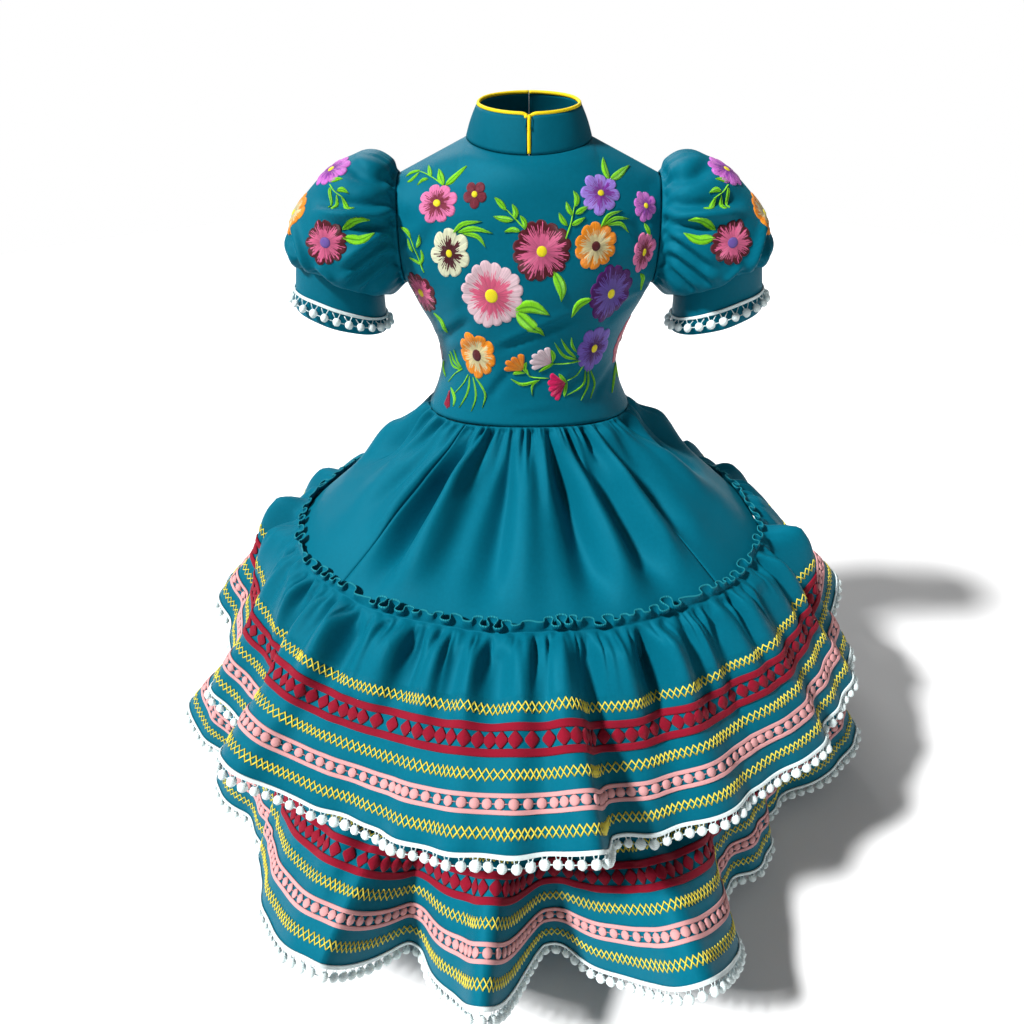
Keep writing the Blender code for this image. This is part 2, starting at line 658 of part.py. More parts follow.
def build_tier(name, folds, along, length, seat, with_frill):
    """One ruffle in a front and a back, with its two braids and the ball fringe of its hem."""
    turns, hem_radii, calm = fold_columns(folds)
    columns = len(turns)
    radius, height = skirt_level(along, turns)
    seam_row = round_row(radius, height, turns)
    above = round_row(*skirt_level(along - CM, turns), turns)
    outward = normals_of(np.array([above, seam_row]), closed=True)[1]
    start = seam_row + outward * seat
    if not with_frill:
        start -= (0, 0, 2 * SEAM)
    start_radius = np.hypot(start[:, 0], start[:, 1])
    rows = [start] + tier_rows(turns, start_radius, start[:, 2], hem_radii, calm, length, TIER_ROWS)
    grid = np.array(rows)
    normals = normals_of(grid, closed=True)
    if with_frill:
        normals[0] = outward
    inside = grid - normals * CLOTH
    outer_rows, inner_rows = list(grid), list(inside)
    if with_frill:
        half_turns = np.stack([turns, (turns + np.roll(turns, -1)) / 2], axis=1)
        half_turns[-1, 1] += math.pi
        half_turns = half_turns.ravel()
        edge = round_row(*skirt_level(along - FRILL_HEIGHT, half_turns), half_turns)
        outward_2 = np.repeat(outward, 2, axis=0)
        reach = np.where(np.arange(2 * columns) % 2, FRILL_CREST, FRILL_TROUGH)[:, None]
        outer_rows.insert(0, edge + outward_2 * reach)
        inner_rows.insert(0, edge + outward_2 * (reach - CLOTH))
    left, right = int(np.argmax(np.cos(turns))), int(np.argmin(np.cos(turns)))
    for part, first, last in (("back", left, right), ("front", right, left)):
        last = first + (last - first) % columns
        outer, inner = (cut_panel(rows, first, last, columns) for rows in (outer_rows, inner_rows))
        add_wall(f"{name}_{part}", outer, inner)
    for braid, edges, colour in (("red", RED_BRAID, RED), ("pink", PINK_BRAID, PINK)):
        picked = [1 + TIER_ROWS.index(edge) for edge in edges]
        seat_rows = [grid[k] + normals[k] * BRAID_SEAT for k in picked]
        face_rows = [grid[k] + normals[k] * (BRAID_SEAT + BRAID) for k in picked]
        add_wall(f"{braid}_braid_{name}", face_rows, seat_rows, colour, closed=True)
    last_rise = grid[-2] - grid[-1]
    tape_top = grid[-1] + last_rise * BALL_TAPE / TIER_ROWS[-2]
    hang = unit(unit(-last_rise) - (0, 0, BALL_HANG))
    add_ball_fringe(f"ball_fringe_{name}", tape_top, grid[-1], normals[-1], hang, TIER_BALLS)


def main():
    for thing in list(bpy.data.objects):
        bpy.data.objects.remove(thing)
    build_bodice()
    build_collar()
    build_sleeves()
    build_skirt()
    build_tier("tier_1", TIER_1_FOLDS, HEADING_AT, TIER_1_LENGTH, TIER_SEAT, True)
    build_tier("tier_2", TIER_2_FOLDS, SKIRT_LENGTH, TIER_2_LENGTH, 0.0, False)


main()
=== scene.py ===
"""Looks of a girl's escaramuza dress: teal cloth with a gathered skirt and two ruffle tiers, openwork
braids, zigzag stitching, ball fringe and embroidered flowers.

Metres, +Z up, the front faces -Y and the wearer's left is +X. Each cloth piece is a grid of points
whose rows run from its top to its lower edge, each row counter-clockwise as seen from above. The
outer grid, an inner one below it and their rims make a thin closed wall. Trims and embroidery are
worked out flat, in metres of cloth, and then laid on those grids.
"""
import logging
import math
from dataclasses import dataclass, field
from enum import Enum
from typing import NamedTuple, Sequence

import bpy
import numpy as np
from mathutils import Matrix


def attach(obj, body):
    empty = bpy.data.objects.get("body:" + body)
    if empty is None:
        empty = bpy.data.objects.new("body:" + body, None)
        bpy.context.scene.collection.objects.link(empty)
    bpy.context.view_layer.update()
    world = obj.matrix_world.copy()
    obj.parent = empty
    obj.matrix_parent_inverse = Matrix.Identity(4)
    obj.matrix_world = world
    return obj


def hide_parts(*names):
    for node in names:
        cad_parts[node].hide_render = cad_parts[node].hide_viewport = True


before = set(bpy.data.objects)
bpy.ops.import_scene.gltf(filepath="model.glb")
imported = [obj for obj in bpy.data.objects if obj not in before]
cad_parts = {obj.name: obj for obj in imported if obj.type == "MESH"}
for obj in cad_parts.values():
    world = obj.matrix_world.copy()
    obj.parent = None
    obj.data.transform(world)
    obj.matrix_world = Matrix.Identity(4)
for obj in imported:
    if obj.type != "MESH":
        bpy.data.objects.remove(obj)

Array = np.ndarray
Colour = tuple[float, float, float]
Place = tuple[float, float]

LOG = logging.getLogger("dress")

# In metres: a centimetre, the space between two pieces that meet, and the cloth's thickness.
CM = 0.01
SEAM = 0.0003
CLOTH = 0.0015


# Plain sums on points and rows.


def unit(vectors: Array) -> Array:
    """Each vector at length one."""
    return vectors / np.maximum(np.linalg.norm(vectors, axis=-1, keepdims=True), 1e-12)


def ease(values: Array | float, low: float, high: float) -> Array:
    """Rises softly from 0 at low to 1 at high: 3t^2 - 2t^3 of the share t between them."""
    t = np.clip((np.asarray(values, float) - low) / (high - low), 0, 1)
    return t * t * (3 - 2 * t)


def sway(turns: Array, seed: int, orders: Sequence[int]) -> Array:
    """A soft uneven wave round the axis, from about -1 to 1.

    It is the mean of sines of the given whole orders, each with its own seeded phase and weight.

    Args:
        turns: Angles round the axis, in radians.
        seed: Seed of the phases and weights.
        orders: Waves per round of each sine.

    Returns:
        The wave's height at each angle.
    """
    dice = np.random.default_rng(seed)
    phases = dice.uniform(0, 2 * math.pi, len(orders))
    weights = dice.uniform(0.6, 1.0, len(orders))
    total = sum(w * np.sin(n * turns + p) for n, p, w in zip(orders, phases, weights))
    return total / math.sqrt(float((weights**2).sum()))


def through(rows: Array, steps: int) -> Array:
    """Rows on smooth curves through the given ones.

    Between two rows it is the Catmull-Rom cubic of the four around them, and the rows beyond both
    ends are those ends mirrored.

    Args:
        rows: The rows to pass through, rows by columns by 3.
        steps: Steps between two given rows.

    Returns:
        (rows - 1) * steps + 1 rows.
    """
    padded = np.concatenate([2 * rows[:1] - rows[1:2], rows, 2 * rows[-1:] - rows[-2:-1]])
    a, b, c, d = (padded[k : len(rows) - 1 + k, None] for k in range(4))
    t = (np.arange(steps) / steps)[None, :, None, None]
    curve = b + 0.5 * t * (c - a + t * (2 * a - 5 * b + 4 * c - d + t * (3 * (b - c) + d - a)))
    return np.concatenate([curve.reshape(-1, *rows.shape[1:]), rows[-1:]])


def smooth_path(points: Sequence[Sequence[float]], steps: int = 6) -> Array:
    """A smooth path through a few points, with that many steps between two of them."""
    return through(np.asarray(points, float)[:, None], steps)[:, 0]


# Meshes.


class Pile:
    """Points and faces of one piece, gathered as whole arrays and then made into a mesh."""

    def __init__(self) -> None:
        """Starts with nothing."""
        self.points: list[Array] = []
        self.faces: list[Array] = []
        self.maps: list[Array] = []
        self.slots: list[Array] = []
        self.count = 0

    def add(self, points: Array, faces: Array, uv: Array, slot: int = 0) -> None:
        """Adds points and the faces between them.

        Args:
            points: Any shape that ends in 3.
            faces: Faces by 4 point numbers, counted from this call's first point. A triangle has -1
                in its last place.
            uv: Faces by 4 corners by 2, the place of each corner on the piece's own map.
            slot: Which of the piece's finishes the faces wear.
        """
        flat = points.reshape(-1, 3)
        self.points.append(flat)
        self.faces.append(np.where(faces < 0, -1, faces + self.count))
        self.maps.append(uv)
        self.slots.append(np.full(len(faces), slot, np.int32))
        self.count += len(flat)

    def add_copies(self, points: Array, faces: Array, uv: Array, slot: int = 0) -> None:
        """Adds shapes of one kind, copies by points by 3, which share the faces and map of the first."""
        count, size = points.shape[:2]
        every = np.where(faces < 0, -1, faces + (np.arange(count) * size)[:, None, None])
        self.add(points, every.reshape(-1, 4), np.tile(uv, (count, 1, 1)), slot)

    def piece(self, name: str, finishes: Sequence["Finish"], node: str | None,
              record_slot: str | None) -> bpy.types.Object:
        """Makes the mesh and its object, which rides on the body and stands for a node.

        Args:
            name: The piece's name.
            finishes: Its finishes, in the order of the slots that add() was given.
            node: The node it replaces, or None.
            record_slot: Not used.

        Returns:
            The object, at the origin, unturned and unscaled.
        """
        points, faces = np.concatenate(self.points), np.concatenate(self.faces)
        real = faces >= 0
        totals = real.sum(axis=1)
        mesh = bpy.data.meshes.new(name)
        mesh.vertices.add(len(points))
        mesh.vertices.foreach_set("co", points.astype(np.float32).ravel())
        mesh.loops.add(int(totals.sum()))
        mesh.loops.foreach_set("vertex_index", faces[real].astype(np.int32))
        mesh.polygons.add(len(faces))
        mesh.polygons.foreach_set("loop_start", (np.cumsum(totals) - totals).astype(np.int32))
        mesh.polygons.foreach_set("loop_total", totals.astype(np.int32))
        mesh.polygons.foreach_set("material_index", np.concatenate(self.slots))
        mesh.update(calc_edges=True)
        uv = np.concatenate(self.maps)[real].astype(np.float32)
        mesh.uv_layers.new(name="cloth").data.foreach_set("uv", uv.ravel())
        mesh.polygons.foreach_set("use_smooth", np.ones(len(faces), bool))
        for finish in finishes:
            mesh.materials.append(finish.material())
        mesh.validate()
        thing = bpy.data.objects.new(name, mesh)
        bpy.context.scene.collection.objects.link(thing)
        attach(thing, "root")
        if node:
            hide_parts(node)
        LOG.info("%s: %d triangles", name, int((totals - 2).sum()))
        return thing


def lattice(rows: int, columns: int, ring: bool = False, tube: bool = False) -> tuple[Array, Array]:
    """Faces of a grid of points, and the row and column of each corner.

    Args:
        rows: Rows of points.
        columns: Points in a row.
        ring: Whether the last column meets the first.
        tube: Whether the last row meets the first.

    Returns:
        Faces by 4 point numbers, and faces by 4 corners by (row, column), where a corner on a seam
        keeps the number beyond the last one.
    """
    r, c = np.meshgrid(np.arange(rows if tube else rows - 1),
                       np.arange(columns if ring else columns - 1), indexing="ij")
    corners = np.stack([np.stack([r + i, c + j], -1) for i, j in ((0, 0), (1, 0), (1, 1), (0, 1))], 2)
    corners = corners.reshape(-1, 4, 2)
    return (corners[..., 0] % rows) * columns + corners[..., 1] % columns, corners


# Corners of the faces between two rows of points that have as many steps, or twice as many above or
# below. Each is the row (0 above), its points for a step of the shorter row, and which of them.
EVEN = (((0, 1, 0), (1, 1, 0), (1, 1, 1), (0, 1, 1)),)
MORE_ABOVE = (((0, 2, 0), (1, 1, 0), (0, 2, 1)), ((0, 2, 1), (1, 1, 0), (1, 1, 1), (0, 2, 2)))
MORE_BELOW = (((0, 1, 0), (1, 2, 0), (1, 2, 1)), ((0, 1, 0), (1, 2, 1), (1, 2, 2), (0, 1, 1)))


def between(counts: Place, starts: Place, ring: bool) -> tuple[Array, Array]:
    """Faces between two rows of points, of which one may have twice the steps of the other.

    Args:
        counts: Points in the upper and the lower row.
        starts: Numbers of their first points.
        ring: Whether the rows close.

    Returns:
        Faces by 4 point numbers with -1 for a missing one, and the share along the row of each corner.
    """
    steps = np.array(counts) - (0 if ring else 1)
    k = np.arange(min(steps))
    table = EVEN if steps[0] == steps[1] else MORE_ABOVE if steps[0] > steps[1] else MORE_BELOW
    faces, shares = [], []
    for corners in table:
        row = [corner[0] for corner in corners]
        at = np.stack([points * k + which for _, points, which in corners], 1)
        missing = ((0, 0), (0, 4 - len(corners)))
        numbers = np.take(starts, row) + at % np.take(counts, row)
        faces.append(np.pad(numbers, missing, constant_values=-1))
        shares.append(np.pad(at / steps[row], missing))
    return np.concatenate(faces), np.concatenate(shares)


@dataclass
class Surface:
    """One face of a cloth piece as a grid of points.

    The normal at a point is the cross product of the steps down and across there, so it points
    outwards.
    """

    points: Array
    ring: bool = False
    normals: Array = field(init=False)

    def __post_init__(self) -> None:
        """Works out the normals."""
        down = np.gradient(self.points, axis=0)
        if self.ring:
            across = np.roll(self.points, -1, axis=1) - np.roll(self.points, 1, axis=1)
        else:
            across = np.gradient(self.points, axis=1)
        self.normals = unit(np.cross(down, across))

    def moved(self, lift: Array) -> "Surface":
        """The surface with each point moved along its normal by its lift."""
        return Surface(self.points + self.normals * lift[..., None], self.ring)

    def mirrored(self) -> "Surface":
        """The surface as it lies on the other side of the dress."""
        return Surface(self.points[:, ::-1] * (-1, 1, 1), self.ring)

    def columns(self, first: int, last: int) -> "Surface":
        """The columns from first to last, which may run on past the seam of a ring."""
        taken = np.arange(first, last + 1) % self.points.shape[1]
        cut = Surface(self.points[:, taken])
        cut.normals = self.normals[:, taken]
        return cut

    def at(self, rows: Array, columns: Array, lift: Array | float = 0.0) -> Array:
        """Points on the surface at places between its rows and columns, raised by lift.

        Each is the mean of the four grid points around it, weighed by how near they are.
        """
        count_r, count_c = self.points.shape[:2]
        rows = np.clip(rows, 0, count_r - 1.000001)
        if not self.ring:
            columns = np.clip(columns, 0, count_c - 1.000001)
        r, c = np.floor(rows).astype(int), np.floor(columns).astype(int)
        s, t = (rows - r)[..., None], (columns - c)[..., None]
        c, d = c % count_c, (c + 1) % count_c

        def mean(values: Array) -> Array:
            """The weighed mean of the four values around each place."""
            upper = values[r, c] * (1 - t) + values[r, d] * t
            lower = values[r + 1, c] * (1 - t) + values[r + 1, d] * t
            return upper * (1 - s) + lower * s

        return mean(self.points) + unit(mean(self.normals)) * np.asarray(lift)[..., None]

    def find(self, targets: Array, weigh: Sequence[float] = (1, 1, 1)) -> Array:
        """Rows and columns of the places nearest to some points.

        The nearest grid point is taken first, and then twice the small step along the rows and
        columns there that brings it closest by least squares.

        Args:
            targets: Points, count by 3.
            weigh: How much each direction counts, such as (1, 0, 1) to leave y free on the side
                that faces the front.

        Returns:
            Count by (row, column).
        """
        scale = np.asarray(weigh, float)
        flat = self.points.reshape(-1, 3) * scale
        if scale[1] == 0:
            flat = flat + (self.normals.reshape(-1, 3)[:, 1:2] > -0.05) * 9.0
        near = ((targets[:, None] * scale - flat[None]) ** 2).sum(-1).argmin(1)
        place = np.stack(np.divmod(near, self.points.shape[1]), 1).astype(float)
        for _ in range(2):
            here = self.at(place[:, 0], place[:, 1])
            down = (self.at(place[:, 0] + 0.5, place[:, 1]) - self.at(place[:, 0] - 0.5, place[:, 1])) * scale
            over = (self.at(place[:, 0], place[:, 1] + 0.5) - self.at(place[:, 0], place[:, 1] - 0.5)) * scale
            gap = (targets - here) * scale
            a, b, c = (down * down).sum(1), (down * over).sum(1), (over * over).sum(1)
            p, q = (down * gap).sum(1), (over * gap).sum(1)
            size = np.maximum(a * c - b * b, 1e-14)
            step = np.stack([(c * p - b * q) / size, (a * q - b * p) / size], 1)
            place += np.clip(step, -1.5, 1.5)
        return place


def lengths(path: Array) -> Array:
    """The distance along a path of points from its start to each of them."""
    return np.concatenate([[0], np.cumsum(np.linalg.norm(np.diff(path, axis=0), axis=1))])


def draw_in(row: Array, gap: float = SEAM / 2) -> Array:
    """An open row whose two ends stand half a seam's space back."""
    row = row.copy()
    first, last = unit(row[1] - row[0]), unit(row[-2] - row[-1])
    row[0] += first * gap
    row[-1] += last * gap
    return row


def add_wall(pile: Pile, outer: Sequence[Array], inner: Sequence[Array], ring: bool,
             slots: Sequence[int] | None = None) -> None:
    """Adds a closed wall of cloth between an outer and an inner list of rows.

    The rows go down the outer face, round the lower rim, up the inner face and round the upper rim.
    On the map, u is the share along a row times the middle row's length, and v is the mean distance
    down, both in metres of cloth.

    Args:
        pile: Where the faces go.
        outer: Rows of the outer face, top first.
        inner: Rows of the inner face, with the same counts.
        ring: Whether the rows close.
        slots: The finish of each step from one row to the next, if not the first everywhere.
    """
    rows = list(outer) + list(inner)[::-1]
    starts = np.concatenate([[0], np.cumsum([len(row) for row in rows])])
    points = np.concatenate(rows)
    width = lengths(outer[len(outer) // 2])[-1]
    down = [0.0]
    for a, b in zip(outer, outer[1:]):
        upper = a[:: max(1, len(a) // len(b))][: len(b)]
        down.append(down[-1] + float(np.linalg.norm(upper - b[: len(upper)], axis=1).mean()))
    levels = np.array(down + down[::-1])
    first = pile.count
    pile.add(points, np.zeros((0, 4), int), np.zeros((0, 4, 2)))
    for k in range(len(rows)):
        m = (k + 1) % len(rows)
        faces, shares = between((len(rows[k]), len(rows[m])), (starts[k], starts[m]), ring)
        upper = (faces >= starts[k]) & (faces < starts[k + 1])
        uv = np.stack([shares * width, np.where(upper, levels[k], levels[m])], -1)
        side = min(k, len(rows) - 2 - k) if k < len(rows) - 1 else 0
        slot = 0 if slots is None else slots[min(max(side, 0), len(slots) - 1)]
        pile.faces.append(np.where(faces < 0, -1, faces + first))
        pile.maps.append(uv)
        pile.slots.append(np.full(len(faces), slot, np.int32))
    if ring:
        return
    half = len(outer)
    k = np.arange(half - 1)
    for end in (0, 1):
        edge = starts[:-1] if end == 0 else starts[1:] - 1
        out, into = edge[:half], edge[half:][::-1]
        faces = np.stack([out[k], into[k], into[k + 1], out[k + 1]], 1)
        faces = faces if end == 0 else faces[:, ::-1]
        uv = np.zeros((len(k), 4, 2))
        uv[..., 0] = end * width
        uv[..., 1] = levels[:half][np.stack([k, k, k + 1, k + 1], 1)]
        pile.faces.append(faces + first)
        pile.maps.append(uv)
        pile.slots.append(np.zeros(len(k), np.int32))


def grid(u: Array, v: Array) -> Array:
    """The places on a map of a grid of points, of which one value is a row and the other a column."""
    return np.stack(np.broadcast_arrays(u, v), -1)


def add_rounds(pile: Pile, rings: Array, poles: Array, places: Array, slot: int = 0, flip: bool = False,
               tips: Array | None = None) -> None:
    """Adds closed solids of one kind, each a stack of closed rings with a point beyond either end.

    Args:
        pile: Where the faces go.
        rings: Solids by rings by sides by 3.
        poles: Solids by 2 by 3, the points beyond the first and the last ring.
        places: Rings by sides + 1 by 2, the places on the map once round each ring.
        slot: The solids' finish.
        flip: Whether each face is read the other way round.
        tips: The map of the triangles round the poles, or None for its corner.
    """
    count, depth, sides = rings.shape[:3]
    faces, corners = lattice(depth, sides, ring=True)
    uv = places[corners[..., 0], corners[..., 1]]
    k, total = np.arange(sides), depth * sides
    m, last = (k + 1) % sides, total - sides
    fans = np.concatenate([np.stack([k, m, 0 * k + total, 0 * k - 1], 1),
                           np.stack([m + last, k + last, 0 * k + total + 1, 0 * k - 1], 1)])
    if flip:
        faces, uv, fans = faces[:, ::-1], uv[:, ::-1], fans[:, [1, 0, 2, 3]]
    tips = np.zeros((2 * sides, 4, 2)) if tips is None else tips
    pile.add_copies(np.concatenate([rings.reshape(count, -1, 3), poles], 1), np.concatenate([faces, fans]),
                    np.concatenate([uv, tips]), slot)


# Finishes.


@dataclass(frozen=True)
class Value:
    """One number in a material, on which sums are written as Python expressions."""

    nodes: "Nodes"
    socket: bpy.types.NodeSocket

    def sum(self, operation: str, *others: "Value | float") -> "Value":
        """A Math node of that operation on this value and the others."""
        node = self.nodes.add("ShaderNodeMath", {"operation": operation}, dict(enumerate((self, *others))))
        return Value(self.nodes, node.outputs[0])

    def __add__(self, other: "Value | float") -> "Value":
        """This plus the other."""
        return self.sum("ADD", other)

    __radd__ = __add__

    def __mul__(self, other: "Value | float") -> "Value":
        """This times the other."""
        return self.sum("MULTIPLY", other)

    def __sub__(self, other: "Value | float") -> "Value":
        """This less the other."""
        return self.sum("SUBTRACT", other)

    def __rsub__(self, other: float) -> "Value":
        """The other less this."""
        return (self * -1.0) + other

    def sine(self) -> "Value":
        """The sine of this, in radians."""
        return self.sum("SINE")

    def floor(self) -> "Value":
        """The whole number below this."""
        return self.sum("FLOOR")

    def size(self) -> "Value":
        """This without its sign."""
        return self.sum("ABSOLUTE")

    def rise(self, low: "Value | float", high: "Value | float") -> "Value":
        """From 0 at low to 1 at high, and flat beyond them: a soft step."""
        node = self.nodes.add("ShaderNodeMapRange", {"interpolation_type": "SMOOTHSTEP"},
                              {"Value": self, "From Min": low, "From Max": high})
        return Value(self.nodes, node.outputs[0])


class Nodes:
    """The nodes of one material."""

    def __init__(self, name: str) -> None:
        """Starts a material whose Principled shader is its only one."""
        self.made = bpy.data.materials.new(name)
        self.made.use_nodes = True
        self.tree = self.made.node_tree
        self.shader = self.tree.nodes["Principled BSDF"]

    def add(self, kind: str, settings: dict[str, object] | None = None,
            sockets: dict[int | str, object] | None = None) -> bpy.types.Node:
        """Adds a node.

        Args:
            kind: The node's type.
            settings: Its properties, set first.
            sockets: Its input sockets by name or number, each a Value, a socket, a number or a tuple.

        Returns:
            The node.
        """
        node = self.tree.nodes.new(kind)
        for key, value in (settings or {}).items():
            setattr(node, key, value)
        for key, value in (sockets or {}).items():
            self.plug(node.inputs[key], value)
        return node

    def plug(self, socket: bpy.types.NodeSocket, value: object) -> None:
        """Links a Value or a socket to the socket, or sets a number or tuple on it."""
        value = value.socket if isinstance(value, Value) else value
        if isinstance(value, bpy.types.NodeSocket):
            self.tree.links.new(value, socket)
        elif isinstance(value, tuple) and len(value) == 3 and socket.type == "RGBA":
            socket.default_value = (*value, 1)
        else:
            socket.default_value = value

    def cloth_place(self) -> tuple[Value, Value]:
        """The two numbers of the piece's own map."""
        uv = self.add("ShaderNodeUVMap", {"uv_map": "cloth"})
        split = self.add("ShaderNodeSeparateXYZ", None, {0: uv.outputs[0]})
        return Value(self, split.outputs[0]), Value(self, split.outputs[1])

    def noise(self, scale: float, detail: float = 2.0) -> Value:
        """Soft noise from 0 to 1 with that many lumps per metre, in the object's own space."""
        place = self.add("ShaderNodeTexCoord").outputs["Object"]
        node = self.add("ShaderNodeTexNoise", None, {"Vector": place, "Scale": scale, "Detail": detail})
        return Value(self, node.outputs[0])

    def chance(self, x: Value | float, y: Value | float) -> Value:
        """A number from 0 to 1 that is the same for the same pair of whole numbers."""
        pair = self.add("ShaderNodeCombineXYZ", None, {0: x, 1: y, 2: 0.0}).outputs[0]
        node = self.add("ShaderNodeTexWhiteNoise", {"noise_dimensions": "3D"}, {"Vector": pair})
        return Value(self, node.outputs["Value"])

    def mix(self, share: Value | float, first: object, second: object,
            blend: str = "MIX") -> bpy.types.NodeSocket:
        """A colour between two colours."""
        settings = {"data_type": "RGBA", "blend_type": blend}
        return self.add("ShaderNodeMix", settings, {0: share, 6: first, 7: second}).outputs[2]

    def shade(self, colour: object, light: Value) -> bpy.types.NodeSocket:
        """A colour made lighter or darker by a value round one."""
        grey = self.add("ShaderNodeCombineColor", None, {0: light, 1: light, 2: light})
        return self.mix(1.0, colour, grey.outputs[0], "MULTIPLY")

    def relief(self, height: Value, distance: float, strength: float = 1.0) -> None:
        """Gives the shader the height, in parts of a distance in metres, as bump."""
        sockets = {"Height": height, "Distance": distance, "Strength": strength}
        bump = self.add("ShaderNodeBump", None, sockets)
        self.plug(self.shader.inputs["Normal"], bump.outputs[0])

    def finish(self, colour: object, **sockets: object) -> bpy.types.Material:
        """Plugs the colour and the shader's other sockets, named with _ for a space."""
        self.plug(self.shader.inputs["Base Color"], colour)
        for key, value in sockets.items():
            self.plug(self.shader.inputs[key.replace("_", " ").title().replace("Ior", "IOR")], value)
        return self.made


_MADE: dict["Finish", bpy.types.Material] = {}


@dataclass(frozen=True)
class Finish:
    """How a surface looks. Each is made once and shared."""

    name: str

    def material(self) -> bpy.types.Material:
        """The Blender material of this finish."""
        if self not in _MADE:
            _MADE[self] = self.build(Nodes(self.name))
        return _MADE[self]

    def build(self, nodes: Nodes) -> bpy.types.Material:
        """Builds the nodes."""
        raise NotImplementedError


@dataclass(frozen=True)
class DressCloth(Finish):
    """Smooth teal dress cloth: a fine diagonal twill, a soft sheen, slight shifts of tone, and the
    overlocked thread along a raw edge where edge is above 0.
    """

    tone: Colour = (0.0013, 0.114, 0.174)
    edge: float = 0.0

    def build(self, nodes: Nodes) -> bpy.types.Material:
        """Twill ribs run at 63 degrees, 0.7 mm apart, and a fine noise breaks them into yarns."""
        u, v = nodes.cloth_place()
        twill = ((u * 2.0 + v) * (2 * math.pi / 0.0016)).sine()
        yarns = nodes.noise(1500.0, 2.0)
        drift = nodes.noise(9.0, 3.0)
        specks = nodes.noise(320.0, 3.0)
        light = 0.80 + drift * 0.20 + specks * 0.22
        colour = nodes.shade(self.tone, light)
        height = twill * 0.5 + yarns
        if self.edge > 0:
            thread = 1 - v.rise(self.edge * 0.8, self.edge)
            loops = (u * (2 * math.pi / 0.0011)).sine() * 0.25 + 0.75
            colour = nodes.mix(thread, colour, nodes.shade((0.02, 0.26, 0.32), loops))
        nodes.relief(height, 0.00014, 0.55)
        return nodes.finish(colour, roughness=0.42 + specks * 0.12, sheen_weight=0.06, sheen_roughness=0.4,
                            sheen_tint=(0.03, 0.7, 0.85, 1.0), specular_ior_level=0.16,
                            specular_tint=(0.10, 0.75, 1.0, 1.0))


@dataclass(frozen=True)
class Thread(Finish):
    """Cord, braid or stitching thread: fine slanted strands across u, with fuzz and shifts of tone."""

    tone: Colour = (0.8, 0.8, 0.8)
    strand: float = 0.0012
    roughness: float = 0.7
    fuzz: float = 0.3

    def build(self, nodes: Nodes) -> bpy.types.Material:
        """The strands are a sine of u plus v, and noise breaks them up. The same sine paints a highlight on
        the strands' crests and shade in the grooves between them.
        """
        u, v = nodes.cloth_place()
        strands = ((u + v) * (2 * math.pi / self.strand)).sine() * 0.5 + 0.5
        fuzz = nodes.noise(1100.0, 3.0)
        drift = nodes.noise(45.0, 2.0)
        # Painted highlight and shade: strands lighter on their crests, darker in the grooves between them.
        light = 0.70 + strands * 0.16 + fuzz * self.fuzz * 0.5 + drift * 0.22
        nodes.relief(strands + fuzz * 0.8, 0.0003, 0.7)
        return nodes.finish(nodes.shade(self.tone, light), roughness=self.roughness,
                            sheen_weight=self.fuzz, sheen_roughness=0.5, specular_ior_level=0.18)


@dataclass(frozen=True)
class Petals(Finish):
    """Satin stitch of a flower in two colours. On its map, u counts lobes and v goes out from 0 to 1."""

    outer: Colour = (0.6, 0.3, 0.3)
    inner: Colour = (0.4, 0.05, 0.08)
    reach: float = 0.55
    ragged: float = 0.20
    dark: float = 0.25

    def build(self, nodes: Nodes) -> bpy.types.Material:
        """Each of 13 stitches to a lobe ends at its own distance, so the two colours meet raggedly. Painted
        shade darkens the notch between lobes, and a painted highlight lightens the crest of each stitch.
        """
        u, v = nodes.cloth_place()
        stitch = u * 13.0
        dice = nodes.chance(stitch.floor(), 0.0)
        other = nodes.chance(stitch.floor(), 7.0)
        split = (u - u.floor() - 0.5).size() * 2.0
        edge = self.reach + (dice - 0.5) * self.ragged * 2.0 - split * 0.10
        outside = v.rise(edge - 0.03, edge + 0.03)
        colour = nodes.mix(outside, self.inner, self.outer)
        # Painted shade: a darker line in each notch between lobes, where the petals part and sink.
        notch_shade_line = split.rise(0.80, 1.0) * v.rise(0.12, 0.45)
        ridge = ((stitch - stitch.floor()) * math.pi).sine()
        # Painted highlight and shade: each stitch lighter along its crest and darker at its sides, from the
        # same ridge as the bump.
        light = (0.74 + other * 0.24 + ridge * 0.16) * (1 - notch_shade_line * self.dark)
        nodes.relief(ridge + other * 0.6, 0.0004, 0.9)
        return nodes.finish(nodes.shade(colour, light), roughness=0.45, sheen_weight=0.08,
                            sheen_roughness=0.4, specular_ior_level=0.25)


@dataclass(frozen=True)
class Leafage(Finish):
    """Satin stitch of a leaf. On its map, u goes from 0 to 1 across it and v counts centimetres."""

    tone: Colour = (0.24, 0.76, 0.012)
    groove_shade_tone: Colour = (0.055, 0.32, 0.008)

    def build(self, nodes: Nodes) -> bpy.types.Material:
        """Slanted stitches run out from the middle, where the two halves leave a darker line of painted shade
        in their sunk groove. A painted highlight lightens the crest of each stitch.
        """
        u, v = nodes.cloth_place()
        away = (u - 0.5).size()
        stitch = (v + away * 0.5) * 17.0
        ridge = ((stitch - stitch.floor()) * math.pi).sine()
        dice = nodes.chance(stitch.floor(), (u * 1.999).floor())
        # Painted shade: the sunk middle line between the two halves is darkened towards a darker green.
        middle = 1 - away.rise(0.03, 0.10)
        colour = nodes.mix(middle * 0.85, self.tone, self.groove_shade_tone)
        nodes.relief(ridge + dice * 0.5, 0.0004, 0.8)
        # Painted highlight: each stitch lighter along its crest.
        return nodes.finish(nodes.shade(colour, 0.76 + dice * 0.22 + ridge * 0.12), roughness=0.42,
                            sheen_weight=0.06, sheen_roughness=0.4, specular_ior_level=0.25)


